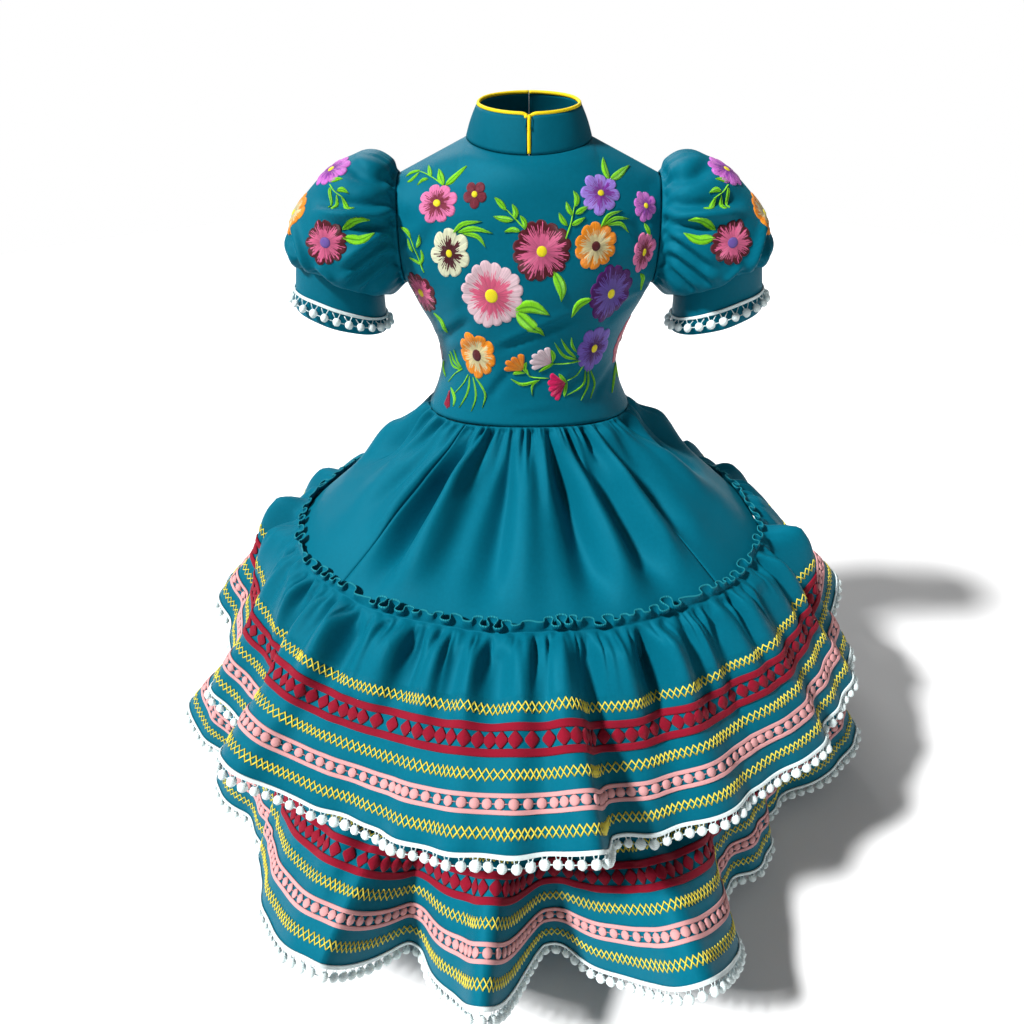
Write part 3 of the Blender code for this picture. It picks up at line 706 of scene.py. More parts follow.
@dataclass(frozen=True)
class PaleFloor(Finish):
    """The plain pale floor."""

    tone: Colour = (0.93, 0.93, 0.93)

    def build(self, nodes: Nodes) -> bpy.types.Material:
        """A matt white with a faint shift of tone."""
        return nodes.finish(nodes.shade(self.tone, 0.99 + nodes.noise(3.0) * 0.02), roughness=0.9)


TEAL = DressCloth("teal_cloth")
FRILL_TEAL = DressCloth("teal_cloth_overlocked", edge=0.0014)
# The collar wears the dress cloth at a darker tone: painted shade on the upright collar.
SHADED_COLLAR_TEAL = DressCloth("teal_collar_cloth_painted_shade", tone=(0.0014, 0.100, 0.152))
RED = Thread("red_braid_cotton", (0.27, 0.0010, 0.018), 0.0014, 0.8, 0.06)
PINK = Thread("pink_braid_cotton", (0.76, 0.37, 0.37), 0.0013, 0.8, 0.08)
WHITE = Thread("white_fringe_cotton", (0.86, 0.98, 0.98), 0.0012, 0.85, 0.15)
YELLOW = Thread("yellow_stitching", (1.0, 0.86, 0.09), 0.0010, 0.55, 0.08)
PIPING = Thread("yellow_piping", (1.0, 0.74, 0.003), 0.0016, 0.45, 0.05)
STEM = Thread("green_stem_thread", (0.24, 0.74, 0.015), 0.0010, 0.5, 0.15)
GREEN = Leafage("green_leaf_stitch")


class Bloom(Enum):
    """The kinds of flowers, by their thread colours."""

    ROSE = Petals("rose_petals", (0.80, 0.20, 0.42), (0.28, 0.035, 0.07), 0.60, 0.22)
    WINE = Petals("wine_petals", (0.19, 0.022, 0.04), (0.24, 0.04, 0.06), 0.5, 0.2, 0.45)
    PANSY = Petals("pansy_petals", (0.70, 0.72, 0.50), (0.075, 0.004, 0.012), 0.60, 0.20)
    BLUSH = Petals("blush_petals", (0.80, 0.56, 0.62), (0.80, 0.12, 0.24), 0.66, 0.13, 0.3)
    MAROON = Petals("maroon_petals", (0.095, 0.006, 0.014), (0.78, 0.14, 0.30), 0.74, 0.22)
    ORANGE = Petals("orange_petals", (0.88, 0.27, 0.01), (0.78, 0.66, 0.34), 0.66, 0.20)
    LILAC = Petals("lilac_petals", (0.36, 0.22, 0.76), (0.26, 0.035, 0.40), 0.58, 0.24)
    PURPLE = Petals("purple_petals", (0.075, 0.004, 0.13), (0.17, 0.10, 0.48), 0.70, 0.22)
    VIOLET = Petals("violet_petals", (0.17, 0.095, 0.48), (0.075, 0.004, 0.16), 0.56, 0.22)
    MAUVE = Petals("mauve_petals", (0.62, 0.16, 0.62), (0.30, 0.04, 0.42), 0.55, 0.25)
    CORAL = Petals("coral_petals", (0.62, 0.12, 0.18), (0.70, 0.20, 0.26), 0.55, 0.25)
    PALE = Petals("pale_bud_petals", (0.84, 0.66, 0.72), (0.78, 0.50, 0.58), 0.4, 0.2)
    MAGENTA = Petals("magenta_bud_petals", (0.80, 0.008, 0.13), (0.62, 0.005, 0.10), 0.5, 0.2)
    SCARLET = Petals("scarlet_bud_petals", (0.42, 0.004, 0.045), (0.36, 0.004, 0.04), 0.5, 0.2)
    TANGERINE = Petals("tangerine_bud_petals", (0.88, 0.24, 0.008), (0.84, 0.33, 0.02), 0.5, 0.3)


class Eye(Enum):
    """The thread colours of the flowers' centres."""

    GOLD = Thread("gold_centre", (0.84, 0.70, 0.01), 0.0009, 0.45, 0.15)
    DARK = Thread("dark_centre", (0.075, 0.004, 0.008), 0.0009, 0.45, 0.15)
    BLUE = Thread("violet_centre", (0.14, 0.08, 0.34), 0.0009, 0.45, 0.15)


# Cloth pieces.


def cloth(node: str, outer: Sequence[Array], inner: Sequence[Array], ring: bool = False,
          finishes: Sequence[Finish] = (TEAL,), slots: Sequence[int] | None = None,
          record_slot: str = "dress_cloth") -> bpy.types.Object:
    """Makes the cloth piece that stands for a node, as a wall between two lists of rows."""
    pile = Pile()
    add_wall(pile, outer, inner, ring, slots)
    return pile.piece(f"{node}_cloth", finishes, node, record_slot)


class Crease(NamedTuple):
    """A soft fold between two places, seen from the front: x and z in centimetres, its width, its
    depth (above 0 for a trough with a ridge above it) and how much the ridge has of that depth.
    """

    start: Place
    end: Place
    width: float
    depth: float
    ridge: float = 0.6


def press(surface: Surface, creases: Sequence[Crease], side: int) -> Array:
    """How far creases move each point of a surface, on the side that faces the front (-1) or back (1).

    Across the crease the trough is a bell curve, and its ridge another one beside it. Along it the
    depth fades to nothing at both ends.
    """
    x, z = surface.points[..., 0] / CM, surface.points[..., 2] / CM
    lift = np.zeros(x.shape)
    facing = ease(side * surface.normals[..., 1], -0.1, 0.25)
    for crease in creases:
        (x0, z0), (x1, z1) = crease.start, crease.end
        length = math.hypot(x1 - x0, z1 - z0)
        ax, az = (x1 - x0) / length, (z1 - z0) / length
        along = ((x - x0) * ax + (z - z0) * az) / length
        off = ((z - z0) * ax - (x - x0) * az) * (1 if ax >= 0 else -1)
        bow = off - 0.10 * length * along * (1 - along)
        fade = ease(along, -0.12, 0.22) * ease(-along, -1.12, -0.72)
        shape = crease.ridge * np.exp(-(((bow - 1.5 * crease.width) / crease.width) ** 2))
        lift += crease.depth * CM * fade * (shape - np.exp(-((bow / crease.width) ** 2)))
    return lift * facing


@dataclass
class Bodice:
    """The fitted bodice: a front in one piece and a back in two.

    Below the underarm each level is half an ellipse: its heights at the side and middle, half width
    and depths in front and behind. Above it the rows end on the armhole, an upright ellipse at each
    side. They give an angle on it, the middle's height, the two depths and the half angle that the row
    wraps. The last rows curve in to the neckline and shoulder seam. Sizes are in centimetres.
    """

    rings: tuple[tuple[float, ...], ...] = (
        (-25.33, -24.60, 11.00, 7.50, 7.20), (-22.60, -22.20, 9.85, 6.95, 6.60),
        (-19.60, -19.40, 9.30, 6.75, 6.35), (-16.40, -16.40, 10.00, 7.05, 6.65),
        (-13.90, -13.80, 11.20, 7.40, 6.95), (-11.85, -11.30, 12.15, 7.60, 7.10))
    chest: tuple[tuple[float, ...], ...] = (
        (150, -9.80, 7.60, 7.15, 80), (122, -7.80, 7.50, 7.10, 70),
        (94, -5.70, 7.25, 7.00, 62), (66, -3.50, 6.85, 6.80, 56))
    armhole_at: Place = (12.25, -6.70)
    armhole_size: Place = (5.15, 3.90)
    neck_y: float = 0.30
    neck_size: tuple[float, float, float] = (5.80, 5.10, 4.70)
    neck_z: tuple[float, float, float] = (1.55, 0.575, -0.225)
    bend: tuple[float, float, float] = (0.5, 0.2, 0.8)
    across: int = 112
    steps: int = 7
    front_creases: tuple[Crease, ...] = (
        Crease((-2.9, -16.5), (4.4, -13.2), 0.42, 0.20), Crease((-4.1, -22.1), (-1.7, -18.7), 0.5, 0.13),
        Crease((-9.2, -17.3), (-5.6, -13.5), 0.5, 0.16), Crease((-8.6, -19.0), (-3.6, -15.6), 0.7, 0.10),
        Crease((2.6, -21.8), (6.6, -18.6), 0.6, 0.09), Crease((-10.6, -8.4), (-8.2, -4.6), 0.7, 0.10),
        Crease((7.2, -14.2), (10.4, -12.2), 0.5, 0.12), Crease((-9.5, -1.6), (-4.2, -0.2), 0.6, 0.07),
        Crease((-6.6, -13.2), (-3.6, -7.8), 0.8, 0.07), Crease((9.6, -4.4), (11.4, -8.8), 0.6, 0.10),
        Crease((-2.0, -23.6), (3.2, -23.2), 0.4, 0.06), Crease((6.6, -22.4), (9.0, -19.8), 0.5, 0.12))
    back_creases: tuple[Crease, ...] = (
        Crease((-8.4, -17.0), (-2.6, -14.4), 0.5, 0.15), Crease((2.2, -15.2), (8.6, -17.2), 0.5, 0.14),
        Crease((-9.2, -20.2), (-4.4, -18.2), 0.6, 0.12), Crease((4.0, -19.2), (8.8, -20.6), 0.6, 0.12),
        Crease((-10.4, -9.6), (-8.0, -4.8), 0.7, 0.10), Crease((10.2, -10.0), (8.4, -4.6), 0.7, 0.10),
        Crease((-3.0, -6.0), (-1.2, -12.6), 0.9, 0.06), Crease((3.6, -22.6), (7.6, -21.2), 0.5, 0.10))

    def armhole(self, degrees: Array, side: int) -> Array:
        """Points of the left armhole, at angles from its top towards the front (-1) or back (1)."""
        turn = np.radians(degrees)
        return np.stack([self.armhole_at[0] + 0 * turn, side * self.armhole_size[1] * np.sin(turn),
                         self.armhole_at[1] + self.armhole_size[0] * np.cos(turn)], -1)

    def neckline(self, turns: Array, size: tuple[float, float, float] | None = None) -> Array:
        """Points of the neckline: two half ellipses, 0 at the left, -90 degrees at the front.

        Its height is a level, plus a rise with the sine of the turn, plus a bend with its square.
        """
        half_width, front, back = size or self.neck_size
        sine = np.sin(turns)
        depth = np.where(sine < 0, front, back)
        level, rise, bend = self.neck_z
        return np.stack([half_width * np.cos(turns), self.neck_y + depth * sine,
                         level + rise * sine + bend * sine * sine], -1)

    def top(self, across: Array, side: int) -> Array:
        """The upper edge, across from -1 to 1: half of it on the neckline, the rest along the shoulder."""
        share = np.abs(across) * 2
        neck = self.neckline(side * math.pi / 2 * (1 - np.minimum(share, 1)))
        corner = self.neckline(np.zeros(1))[0]
        shoulder = corner + (self.armhole(np.zeros(1), side)[0] - corner) * (share - 1)[:, None]
        points = np.where((share <= 1)[:, None], neck, shoulder)
        points[:, 0] = np.copysign(points[:, 0], across)
        return points

    def face(self, side: int) -> Surface:
        """The outer face of the front (-1) or the back (1), top row first."""
        across = np.linspace(-1, 1, self.across + 1)
        rows = []
        turn = across * math.pi / 2
        for z_side, z_middle, half_width, front, back in self.rings:
            depth = front if side < 0 else back
            height = z_side + (z_middle - z_side) * np.cos(turn) ** 2
            rows.append(np.stack([half_width * np.sin(turn), side * depth * np.cos(turn), height], -1))
        for degrees, z_middle, front, back, wrap_deg in self.chest:
            edge = self.armhole(np.array([degrees]), side)[0]
            wrap = math.radians(wrap_deg)
            middle = (np.cos(across * wrap) - math.cos(wrap)) / (1 - math.cos(wrap))
            depth = side * (front if side < 0 else back)
            rows.append(np.stack([edge[0] * np.sin(across * wrap) / math.sin(wrap),
                                  edge[1] + (depth - edge[1]) * middle,
                                  edge[2] + (z_middle - edge[2]) * middle], -1))
        start, ends = rows[-1], self.top(across, side)
        knee = start + (ends - start) * self.bend
        for k in range(1, 4):
            t = k / 3
            row = start * (1 - t) ** 2 + knee * 2 * t * (1 - t) + ends * t * t
            edge = self.armhole(np.array([self.chest[-1][0] * (1 - t)]), side)[0]
            row[-1], row[0] = edge, edge * (-1, 1, 1)
            rows.append(row)
        points = through(np.array(rows[::-1]), self.steps) * CM
        surface = Surface(points if side < 0 else points[:, ::-1])
        return surface.moved(self.drape(surface, side))

    def drape(self, surface: Surface, side: int) -> Array:
        """How far the cloth moves: its creases, faint ripples, pull at the armholes, and low seams."""
        x, z = surface.points[..., 0] / CM, surface.points[..., 2] / CM
        rows, columns = x.shape
        r, c = np.arange(rows)[:, None], np.arange(columns)[None]
        r, c = np.minimum(r, rows - 1 - r), np.minimum(c, columns - 1 - c)
        inside = ease(r, 0, 7) * ease(c, 0, 7)
        creases = self.front_creases if side < 0 else self.back_creases
        lift = press(surface, creases, side) * 1.7 * inside
        ripple = np.sin(x * 0.9 + np.sin(z * 0.37) * 1.5) * np.sin(z * 0.8 + x * 0.21 + side)
        pull = np.exp(-((np.abs(x) - 11.6) / 1.5) ** 2) * np.sin(z * 3.1 + np.sin(z) * 0.8)
        lift += (ripple * 0.045 + pull * 0.08 * ease(z, -13, -11)) * CM * inside
        return lift - SEAM * (1 - ease(np.minimum(r, c), 0, 1.2))

    def build(self) -> Surface:
        """Builds the three pieces and returns the front's outer face, which carries the flowers."""
        front, back, half = self.face(-1), self.face(1), self.across // 2
        for name, side, part, flat in (("front", -1, front, (0.33, 0.27)),
                                       ("back_left", 1, back.columns(0, half), (0.17, 0.27)),
                                       ("back_right", 1, back.columns(half, self.across), (0.17, 0.27))):
            outer = [draw_in(row) for row in part.points]
            inner = [draw_in(row) for row in part.points - part.normals * CLOTH]
            for rows in (outer, inner):
                rows[0] = rows[0] + (0, side * SEAM / 2, -SEAM / 2)
            piece = cloth(f"bodice_{name}", outer, inner)
            flat[0] * flat[1] * 0.80
        return front


@dataclass
class Collar:
    """The stand collar: two halves that lean in, with round corners at the front and yellow piping.

    Its top edge keeps its length along the cloth while it leans, and dips by an ellipse at the front
    corner. Sizes are in centimetres.
    """

    bodice: Bodice
    top_size: tuple[float, float, float] = (4.75, 4.20, 3.90)
    height: float = 2.80
    height_front: float = 3.15
    corner: float = 0.75
    dip: float = 0.55
    cloth: float = 0.22
    piping: float = 0.16
    columns: int = 64
    rows: int = 12

    def top(self, turns: Array) -> Array:
        """The top edge at some turns, 0 at the left and -90 degrees at the front."""
        base = self.bodice.neckline(turns)
        top = self.bodice.neckline(turns, self.top_size)
        height = self.height + (self.height_front - self.height) * np.maximum(0.0, -np.sin(turns))
        inward = np.hypot(top[:, 0] - base[:, 0], top[:, 1] - base[:, 1])
        top[:, 2] = base[:, 2] + np.sqrt(height**2 - inward**2)
        away = np.minimum(1.0, self.top_size[0] * (turns + math.pi / 2) / self.corner)
        top[:, 2] -= self.dip * (1 - np.sqrt(np.maximum(0.0, 1 - (1 - away) ** 2)))
        return top

    def half(self) -> Surface:
        """The outer face of the left half, from the middle of the front to that of the back."""
        share = np.linspace(0, 1, self.columns + 1) ** 1.35
        turns = -math.pi / 2 + np.maximum(share * math.pi, math.radians(2.5))
        top, base = self.top(turns), self.bodice.neckline(turns) + (0, 0, SEAM / CM)
        base[0, 0] = top[0, 0] = self.piping + 2 * SEAM / CM
        base[-1, 0] = top[-1, 0] = SEAM / CM / 2
        t = np.linspace(0, 1, self.rows + 1)[:, None, None]
        surface = Surface((top * (1 - t) + base * t) * CM)
        t = t[..., 0]
        swell = 0.05 + 0.03 * np.sin(turns * 7 + 1)
        crease = 0.06 * np.exp(-(((turns + 2.3 - 0.13 * t) / 0.07) ** 2))
        return surface.moved((swell - crease) * np.sin(np.pi * t) * CM)

    def build(self) -> None:
        """Builds both halves and their piping, of which the left one turns down the front edge."""
        left = self.half()
        inner = left.points - left.normals * self.cloth * CM
        both = np.array([left.points, inner])
        for name, faces in (("left", both), ("right", both[:, :, ::-1] * (-1, 1, 1))):
            piece = cloth(f"collar_{name}", list(faces[0]), list(faces[1]), finishes=[SHADED_COLLAR_TEAL],
                          record_slot="collar_cloth")
        middle = (left.points + inner) / 2
        along = unit(np.gradient(middle[0], axis=0))
        up = unit(np.cross(left.normals[0], along))
        up = np.where(up[:, 2:] < 0, -up, up)
        route = (middle[0] + up * self.piping * CM * 0.95)[::-1]
        corner = route[-1] * (0, 1, 1) + (0.0004, 0, -0.0008)
        front_top, front_base = middle[0, 0] * (0, 1, 1), middle[-1, 0] * (0, 1, 1)
        turned = smooth_path([route[-3], corner, front_top * 0.9 + front_base * 0.1], 5)
        down = front_top + (front_base - front_top) * np.linspace(0.12, 0.97, 14)[:, None]
        for name, path in (("left", np.concatenate([route[:-3], turned, down])),
                           ("right", route[:-1] * (-1, 1, 1))):
            pile = Pile()
            add_tube(pile, path, self.piping * CM, 10)
            pile.piece(f"piping_{name}_cord", [PIPING], f"piping_{name}", "piping")


def add_tube(pile: Pile, path: Array, radius: float, sides: int) -> None:
    """Adds a round tube along an open path, closed at both ends.

    Around each point of the path runs a circle in the plane across it. u is the distance along the
    path and v the distance round it, in metres.
    """
    along = unit(np.gradient(path, axis=0))
    guide = np.where(np.abs(along[:, 2:]) > 0.8, (0.0, 1.0, 0.0), (0.0, 0.0, 1.0))
    side = unit(np.cross(along, guide))
    signs = np.where((side[1:] * side[:-1]).sum(1) < 0, -1, 1)
    side[1:] *= np.cumprod(signs)[:, None]
    over = np.cross(along, side)
    turns = np.arange(sides)[:, None] * 2 * math.pi / sides
    rings = path[:, None] + radius * (side[:, None] * np.cos(turns) + over[:, None] * np.sin(turns))
    once_round = np.arange(sides + 1) * (2 * math.pi * radius / sides)
    add_rounds(pile, rings[None], path[None, [0, -1]], grid(lengths(path)[:, None], once_round), flip=True)


@dataclass
class Sleeve:
    """A short puff sleeve on a straight cuff.

    Each section is a tilted ellipse through its outer and inner points: the x and z of both, its half
    depth, and how far its front and back rise. Smooth curves join the sections. Gathers start at both
    seams and fade along the puff. Sizes are in centimetres.
    """

    sections: tuple[tuple[float, ...], ...] = (
        (12.28, -1.55, 12.28, -11.85, 3.90, 0), (13.10, -0.35, 12.70, -12.25, 4.90, 0),
        (14.90, 0.30, 13.20, -12.65, 5.70, 0), (18.30, -0.85, 13.75, -12.95, 6.30, 0),
        (21.90, -4.10, 14.20, -12.80, 6.45, 0), (23.80, -7.20, 14.45, -12.80, 6.05, 0.25),
        (23.70, -9.20, 14.62, -12.90, 4.85, 0.9), (23.20, -9.70, 14.85, -13.15, 4.05, 1.15))
    cuff: tuple[tuple[float, ...], ...] = (
        (23.20, -9.70, 14.85, -13.15, 4.05, 1.15), (24.00, -14.10, 14.95, -16.95, 3.90, 0.0))
    columns: int = 152
    cuff_columns: int = 132
    steps: int = 11
    creases: tuple[Crease, ...] = (
        Crease((12.4, -4.3), (19.4, -4.1), 0.50, -0.50, 0.8), Crease((12.3, -5.3), (17.2, -5.0), 0.45, 0.34),
        Crease((12.4, -1.9), (16.6, -0.7), 0.50, 0.40), Crease((12.3, -6.2), (17.0, -9.0), 0.55, 0.50, 0.8),
        Crease((12.4, -7.6), (17.2, -10.6), 0.55, 0.46, 0.8), Crease((12.6, -9.2), (16.0, -11.6), 0.5, 0.36),
        Crease((22.5, -5.4), (21.2, -9.4), 0.42, 0.60, 0.8), Crease((23.2, -6.0), (21.6, -10.0), 0.38, 0.50),
        Crease((20.2, -9.0), (18.8, -10.4), 0.40, 0.40), Crease((23.6, -6.6), (22.8, -10.0), 0.30, 0.40),
        Crease((15.4, -2.6), (19.6, -3.2), 0.7, 0.14))

    def ring(self, section: Sequence[float], columns: int) -> Array:
        """One ring: its points start at the outer end and turn towards the back."""
        outer_x, outer_z, inner_x, inner_z, depth, rise = section
        outer, inner = np.array([outer_x, 0, outer_z]), np.array([inner_x, 0, inner_z])
        turn = 2 * math.pi * np.arange(columns)[:, None] / columns
        reach = (outer - inner) / 2 * np.cos(turn) + np.array([0, depth, 0]) * np.sin(turn)
        reach = reach + np.array([0, 0, rise]) * np.sin(turn) ** 2
        return ((outer + inner) / 2 + reach) * CM

    def puff(self) -> Surface:
        """The outer face of the left puff, with its gathers, folds and the roll above the cuff."""
        rings = np.array([self.ring(section, self.columns) for section in self.sections])
        rings[-1] += (0, 0, SEAM)
        surface = Surface(through(rings, self.steps), ring=True)
        turns = 2 * math.pi * np.arange(self.columns) / self.columns
        along = np.linspace(0, 1, len(surface.points))[:, None]
        lift = 0 * along * turns
        dice = np.random.default_rng(11)
        for count, start, depth in ((30, 0.0, 0.52), (26, 1.0, 0.62)):
            places = (np.arange(count) + dice.uniform(-0.28, 0.28, count)) * 2 * math.pi / count
            for place in places:
                off = (turns - place + math.pi) % (2 * math.pi) - math.pi
                width = 2 * math.pi / count * dice.uniform(0.24, 0.36)
                reach = dice.uniform(0.10, 0.34) if start == 0 else dice.uniform(0.06, 0.15)
                far = np.abs(along - start)
                fade = ease(far, 0.0, 0.045) * np.exp(-((far / reach) ** 1.6))
                spread = width * (1 + 2.2 * far)
                lift -= depth * dice.uniform(0.5, 1.2) * fade * np.exp(-((off / spread) ** 2))
        lift += 0.09 * sway(turns, 5, (3, 5, 8)) * np.sin(np.pi * along) + 0.05
        for side, much in ((-1, 1.5), (1, 1.2)):
            lift += press(surface, self.creases, side) / CM * much * np.sin(np.pi * along) ** 0.4
        roll = 0.12 * np.exp(-(((along - 0.945) / 0.03) ** 2)) * (1 + 0.5 * sway(turns, 9, (7, 11, 13)))
        lift = (lift + roll) * ease(along, 0, 0.03) * ease(1 - along, 0, 0.03)
        return surface.moved((lift - 0.02 * (1 - ease(along, 0, 0.012))) * CM)

    def straight_cuff(self) -> Surface:
        """The outer face of the left cuff, a little wavy, its two edges turned under softly."""
        rings = np.array([self.ring(section, self.cuff_columns) for section in self.cuff])
        t = np.array([0, 0.03, 0.10, 0.2, 0.32, 0.44, 0.56, 0.68, 0.8, 0.9, 0.975, 1.0])[:, None]
        surface = Surface(rings[0] * (1 - t[..., None]) + rings[1] * t[..., None], ring=True)
        turns = 2 * math.pi * np.arange(self.cuff_columns) / self.cuff_columns
        wave = 0.06 * sway(turns, 3, (2, 3, 5)) * np.sin(np.pi * t) + 0.03 * sway(turns, 4, (7, 9)) * t
        rim = 0.04 * (1 - ease(t, 0, 0.06)) + 0.03 * (1 - ease(1 - t, 0, 0.03))
        return surface.moved((wave - rim) * CM)

    def build(self) -> dict[str, Surface]:
        """Builds both sleeves and cuffs and returns their outer faces by node."""
        faces: dict[str, Surface] = {}
        for part, surface, flat, share in (("sleeve", self.puff(), (0.46, 0.17), 0.78),
                                           ("cuff", self.straight_cuff(), (0.285, 0.042), 1.0)):
            for name in (f"{part}_left", f"{part}_right"):
                face = surface if "left" in name else surface.mirrored()
                piece = cloth(name, list(face.points), list(face.points - face.normals * CLOTH), ring=True)
                flat[0] * flat[1] * share
                faces[name] = face
        return faces


def valleys(turns: Array, down: Array, seed: int, count: int, reach: Place, depth: Place,
            width: float) -> Array:
    """How deep the folds are that start at a gathered seam, in centimetres.

    Each is a valley with a crisp and a soft side, two halves of bell curves of unlike widths. It
    widens on its way down and fades at its own distance.

    Args:
        turns: Angles round the axis.
        down: Distances from the seam, in centimetres.
        seed: Seed of the places and sizes.
        count: How many folds there are all round.
        reach: The least and the greatest distance at which one fades.
        depth: The least and the greatest depth.
        width: Half the width at the seam, in radians.

    Returns:
        The depth at each place.
    """
    dice = np.random.default_rng(seed)
    total = 0 * turns * down
    for place in (np.arange(count) + dice.uniform(-0.38, 0.38, count)) * 2 * math.pi / count:
        far = reach[0] * (reach[1] / reach[0]) ** dice.uniform() ** 1.5
        side, lean = dice.choice([-1, 1]), dice.uniform(0.5, 0.9)
        off = (turns - place - side * 0.006 * down / far + math.pi) % (2 * math.pi) - math.pi
        wide = width * dice.uniform(0.7, 1.2) * (1 + down / 6.0) * np.where(off * side > 0, lean, 2 - lean)
        deep = dice.uniform(*depth) * (0.75 + 0.25 * far / reach[1])
        total += deep * ease(down, -0.1, 0.5) * np.exp(-((down / far) ** 2) - (off / wide) ** 2)
    return total


@dataclass
class Skirt:
    """The gathered skirt in three panels, which also runs on beneath the upper tier.

    Each level is two half ellipses that meet where it is widest, given by its distance below the
    waist along the cloth, its heights at the sides, front and back, its half width, the y where it is
    widest, its depths and the size of its broad flutes. Sizes are in centimetres. Seams are the
    columns behind, in front on the wearer's right, and in front on the left.
    """

    rings: tuple[tuple[float, ...], ...] = (
        (0.0, -25.33, -24.60, -24.60, 11.00, 0.00, 7.50, 7.20, 0.00),
        (2.6, -26.95, -26.25, -26.70, 12.90, -0.60, 9.50, 8.40, 0.05),
        (8.2, -30.40, -29.90, -31.40, 17.15, -2.20, 13.95, 12.00, 0.22),
        (14.4, -34.00, -33.55, -36.40, 21.35, -4.10, 19.10, 15.60, 0.30),
        (20.9, -37.70, -37.30, -41.30, 25.90, -5.80, 24.60, 18.60, 0.12),
        (34.3, -50.50, -50.50, -53.00, 30.60, -4.20, 29.00, 24.60, 0.10))
    columns: int = 504
    seams: tuple[int, int, int] = (126, 312, 444)
    heading_at: float = 20.9
    length: float = 34.3
    gathers: int = 46

    def level(self, along: float, turns: Array) -> tuple[Array, Array]:
        """Radius and height, in metres, at a distance below the waist in centimetres.

        The radius is where a ray from the axis meets the level's ellipse, which solves a quadratic,
        plus its flutes. The height goes from the side's to the front's or back's with sine squared.
        """
        table = np.array(self.rings)
        _, z_side, z_front, z_back, half_width, widest, front, back, flute = (
            np.interp(along, table[:, 0], table[:, k]) for k in range(9))
        cosine, sine = np.cos(turns), np.sin(turns)
        reaches = []
        for depth in (front + widest, back - widest):
            square = (cosine / half_width) ** 2 + (sine / depth) ** 2
            linear = widest * sine / depth**2
            reaches.append((linear + np.sqrt(linear**2 - square * ((widest / depth) ** 2 - 1))) / square)
        radius = np.where(reaches[0] * sine < widest, reaches[0], reaches[1])
        radius = radius + flute * np.sin(14 * turns + 0.9 * np.sin(2 * turns + 0.4) + 0.6 * np.sin(3 * turns))
        z_end = np.where(sine < 0, z_front, z_back)
        return radius * CM, (z_side + (z_end - z_side) * sine**2) * CM

    def row(self, along: float, turns: Array) -> Array:
        """The level's points at some turns."""
        radius, height = self.level(along, turns)
        return np.stack([radius * np.cos(turns), radius * np.sin(turns), height], -1)

    def gather(self, along: Array, turns: Array) -> Array:
        """How far the gathers at the waist and the flutes move the cloth, in centimetres.

        The cloth swells below the waist and puckers finely along it. Two families of short valleys and
        one of long ones start there, and broad flutes with crisp backs take over lower down.
        """
        end = self.heading_at
        lift = 0.26 * np.exp(-(((along - 1.2) / 1.5) ** 2)) + 0 * turns
        pucker = sway(turns, 30, (89, 107, 127)) * ease(along, 0, 0.4)
        lift += 0.10 * pucker * np.exp(-((along / 1.3) ** 1.6))
        lift -= valleys(turns, along, 21, self.gathers, (1.3, 12.0), (0.28, 0.75), 0.026)
        lift -= valleys(turns, along, 22, 40, (1.0, 6.0), (0.15, 0.40), 0.016)
        long_ones = valleys(turns, along, 33, 24, (8.0, 30.0), (0.55, 1.35), 0.040)
        lift -= long_ones * (1 - 0.6 * ease(along, 14, end))
        broad = sway(turns, 31, (11, 15, 19, 24))
        broad = np.where(broad > 0, broad, broad * 1.25)
        lift += broad * 1.35 * ease(along, 0.5, 7.0) * (1 - 0.72 * ease(along, 11, end))
        fine = 0.20 * np.exp(-(((along - 4.0) / 4.0) ** 2)) + 0.06 * ease(along, 15, 20)
        return lift + sway(turns, 32, (26, 33, 41)) * fine

    def lift(self, along: Array, turns: Array) -> Array:
        """How far the cloth lies off its levels, in centimetres.

        The folds fade towards the frill, at the sides of the dress earlier and almost wholly.
        """
        side = ease(np.abs(np.cos(turns)), 0.60, 0.88)
        near_seam = ease(along, 15.0 - 10.0 * side, self.heading_at - 0.8 - 6.0 * side)
        lift = self.gather(along, turns) * (1 - (0.70 + 0.28 * side) * near_seam)
        lift = lift * (1 - 0.75 * ease(along, self.heading_at, 23.0))
        return lift * ease(along, -0.1, 0.3) - 0.02 * (1 - ease(along, 0, 0.2))

    def build(self) -> None:
        """Builds the front panel and the two back panels, their seams sunk by a hair."""
        turns = np.arange(self.columns) * 2 * math.pi / self.columns
        levels = np.concatenate([[0, 0.12, 0.28, 0.5, 0.75], np.linspace(1.05, 8.0, 24),
                                 np.linspace(8.35, self.heading_at, 34),
                                 [21.6, 22.6, 24, 26, 28, 30, 32, 33.4, 34.15, 34.3]])
        rows = np.array([self.row(along, turns) for along in levels])
        rows[0] -= (0, 0, SEAM)
        surface = Surface(rows, ring=True)
        lift = self.lift(levels[:, None], turns[None])
        for seam in self.seams:
            off = np.abs(np.arange(self.columns) - seam)
            off = np.minimum(off, self.columns - off)
            lift -= 0.07 * np.exp(-((off / 1.1) ** 2)) * ease(levels, 0.2, 2.0)[:, None]
        surface = surface.moved(lift * CM)
        inside = surface.points - surface.normals * CLOTH
        inside[0, :, 2] = np.minimum(inside[0, :, 2], surface.points[0, :, 2])
        behind, right, left = self.seams
        for name, first, last, flat in (("front", right, left, (0.50, 0.343)),
                                        ("back_left", left, behind + self.columns, (0.62, 0.343)),
                                        ("back_right", behind, right, (0.62, 0.343))):
            taken = np.arange(first, last + 1) % self.columns
            outer, inner = ([draw_in(row[taken]) for row in face] for face in (surface.points, inside))
            piece = cloth(f"skirt_{name}", outer, inner)
            flat[0] * flat[1] * 0.80


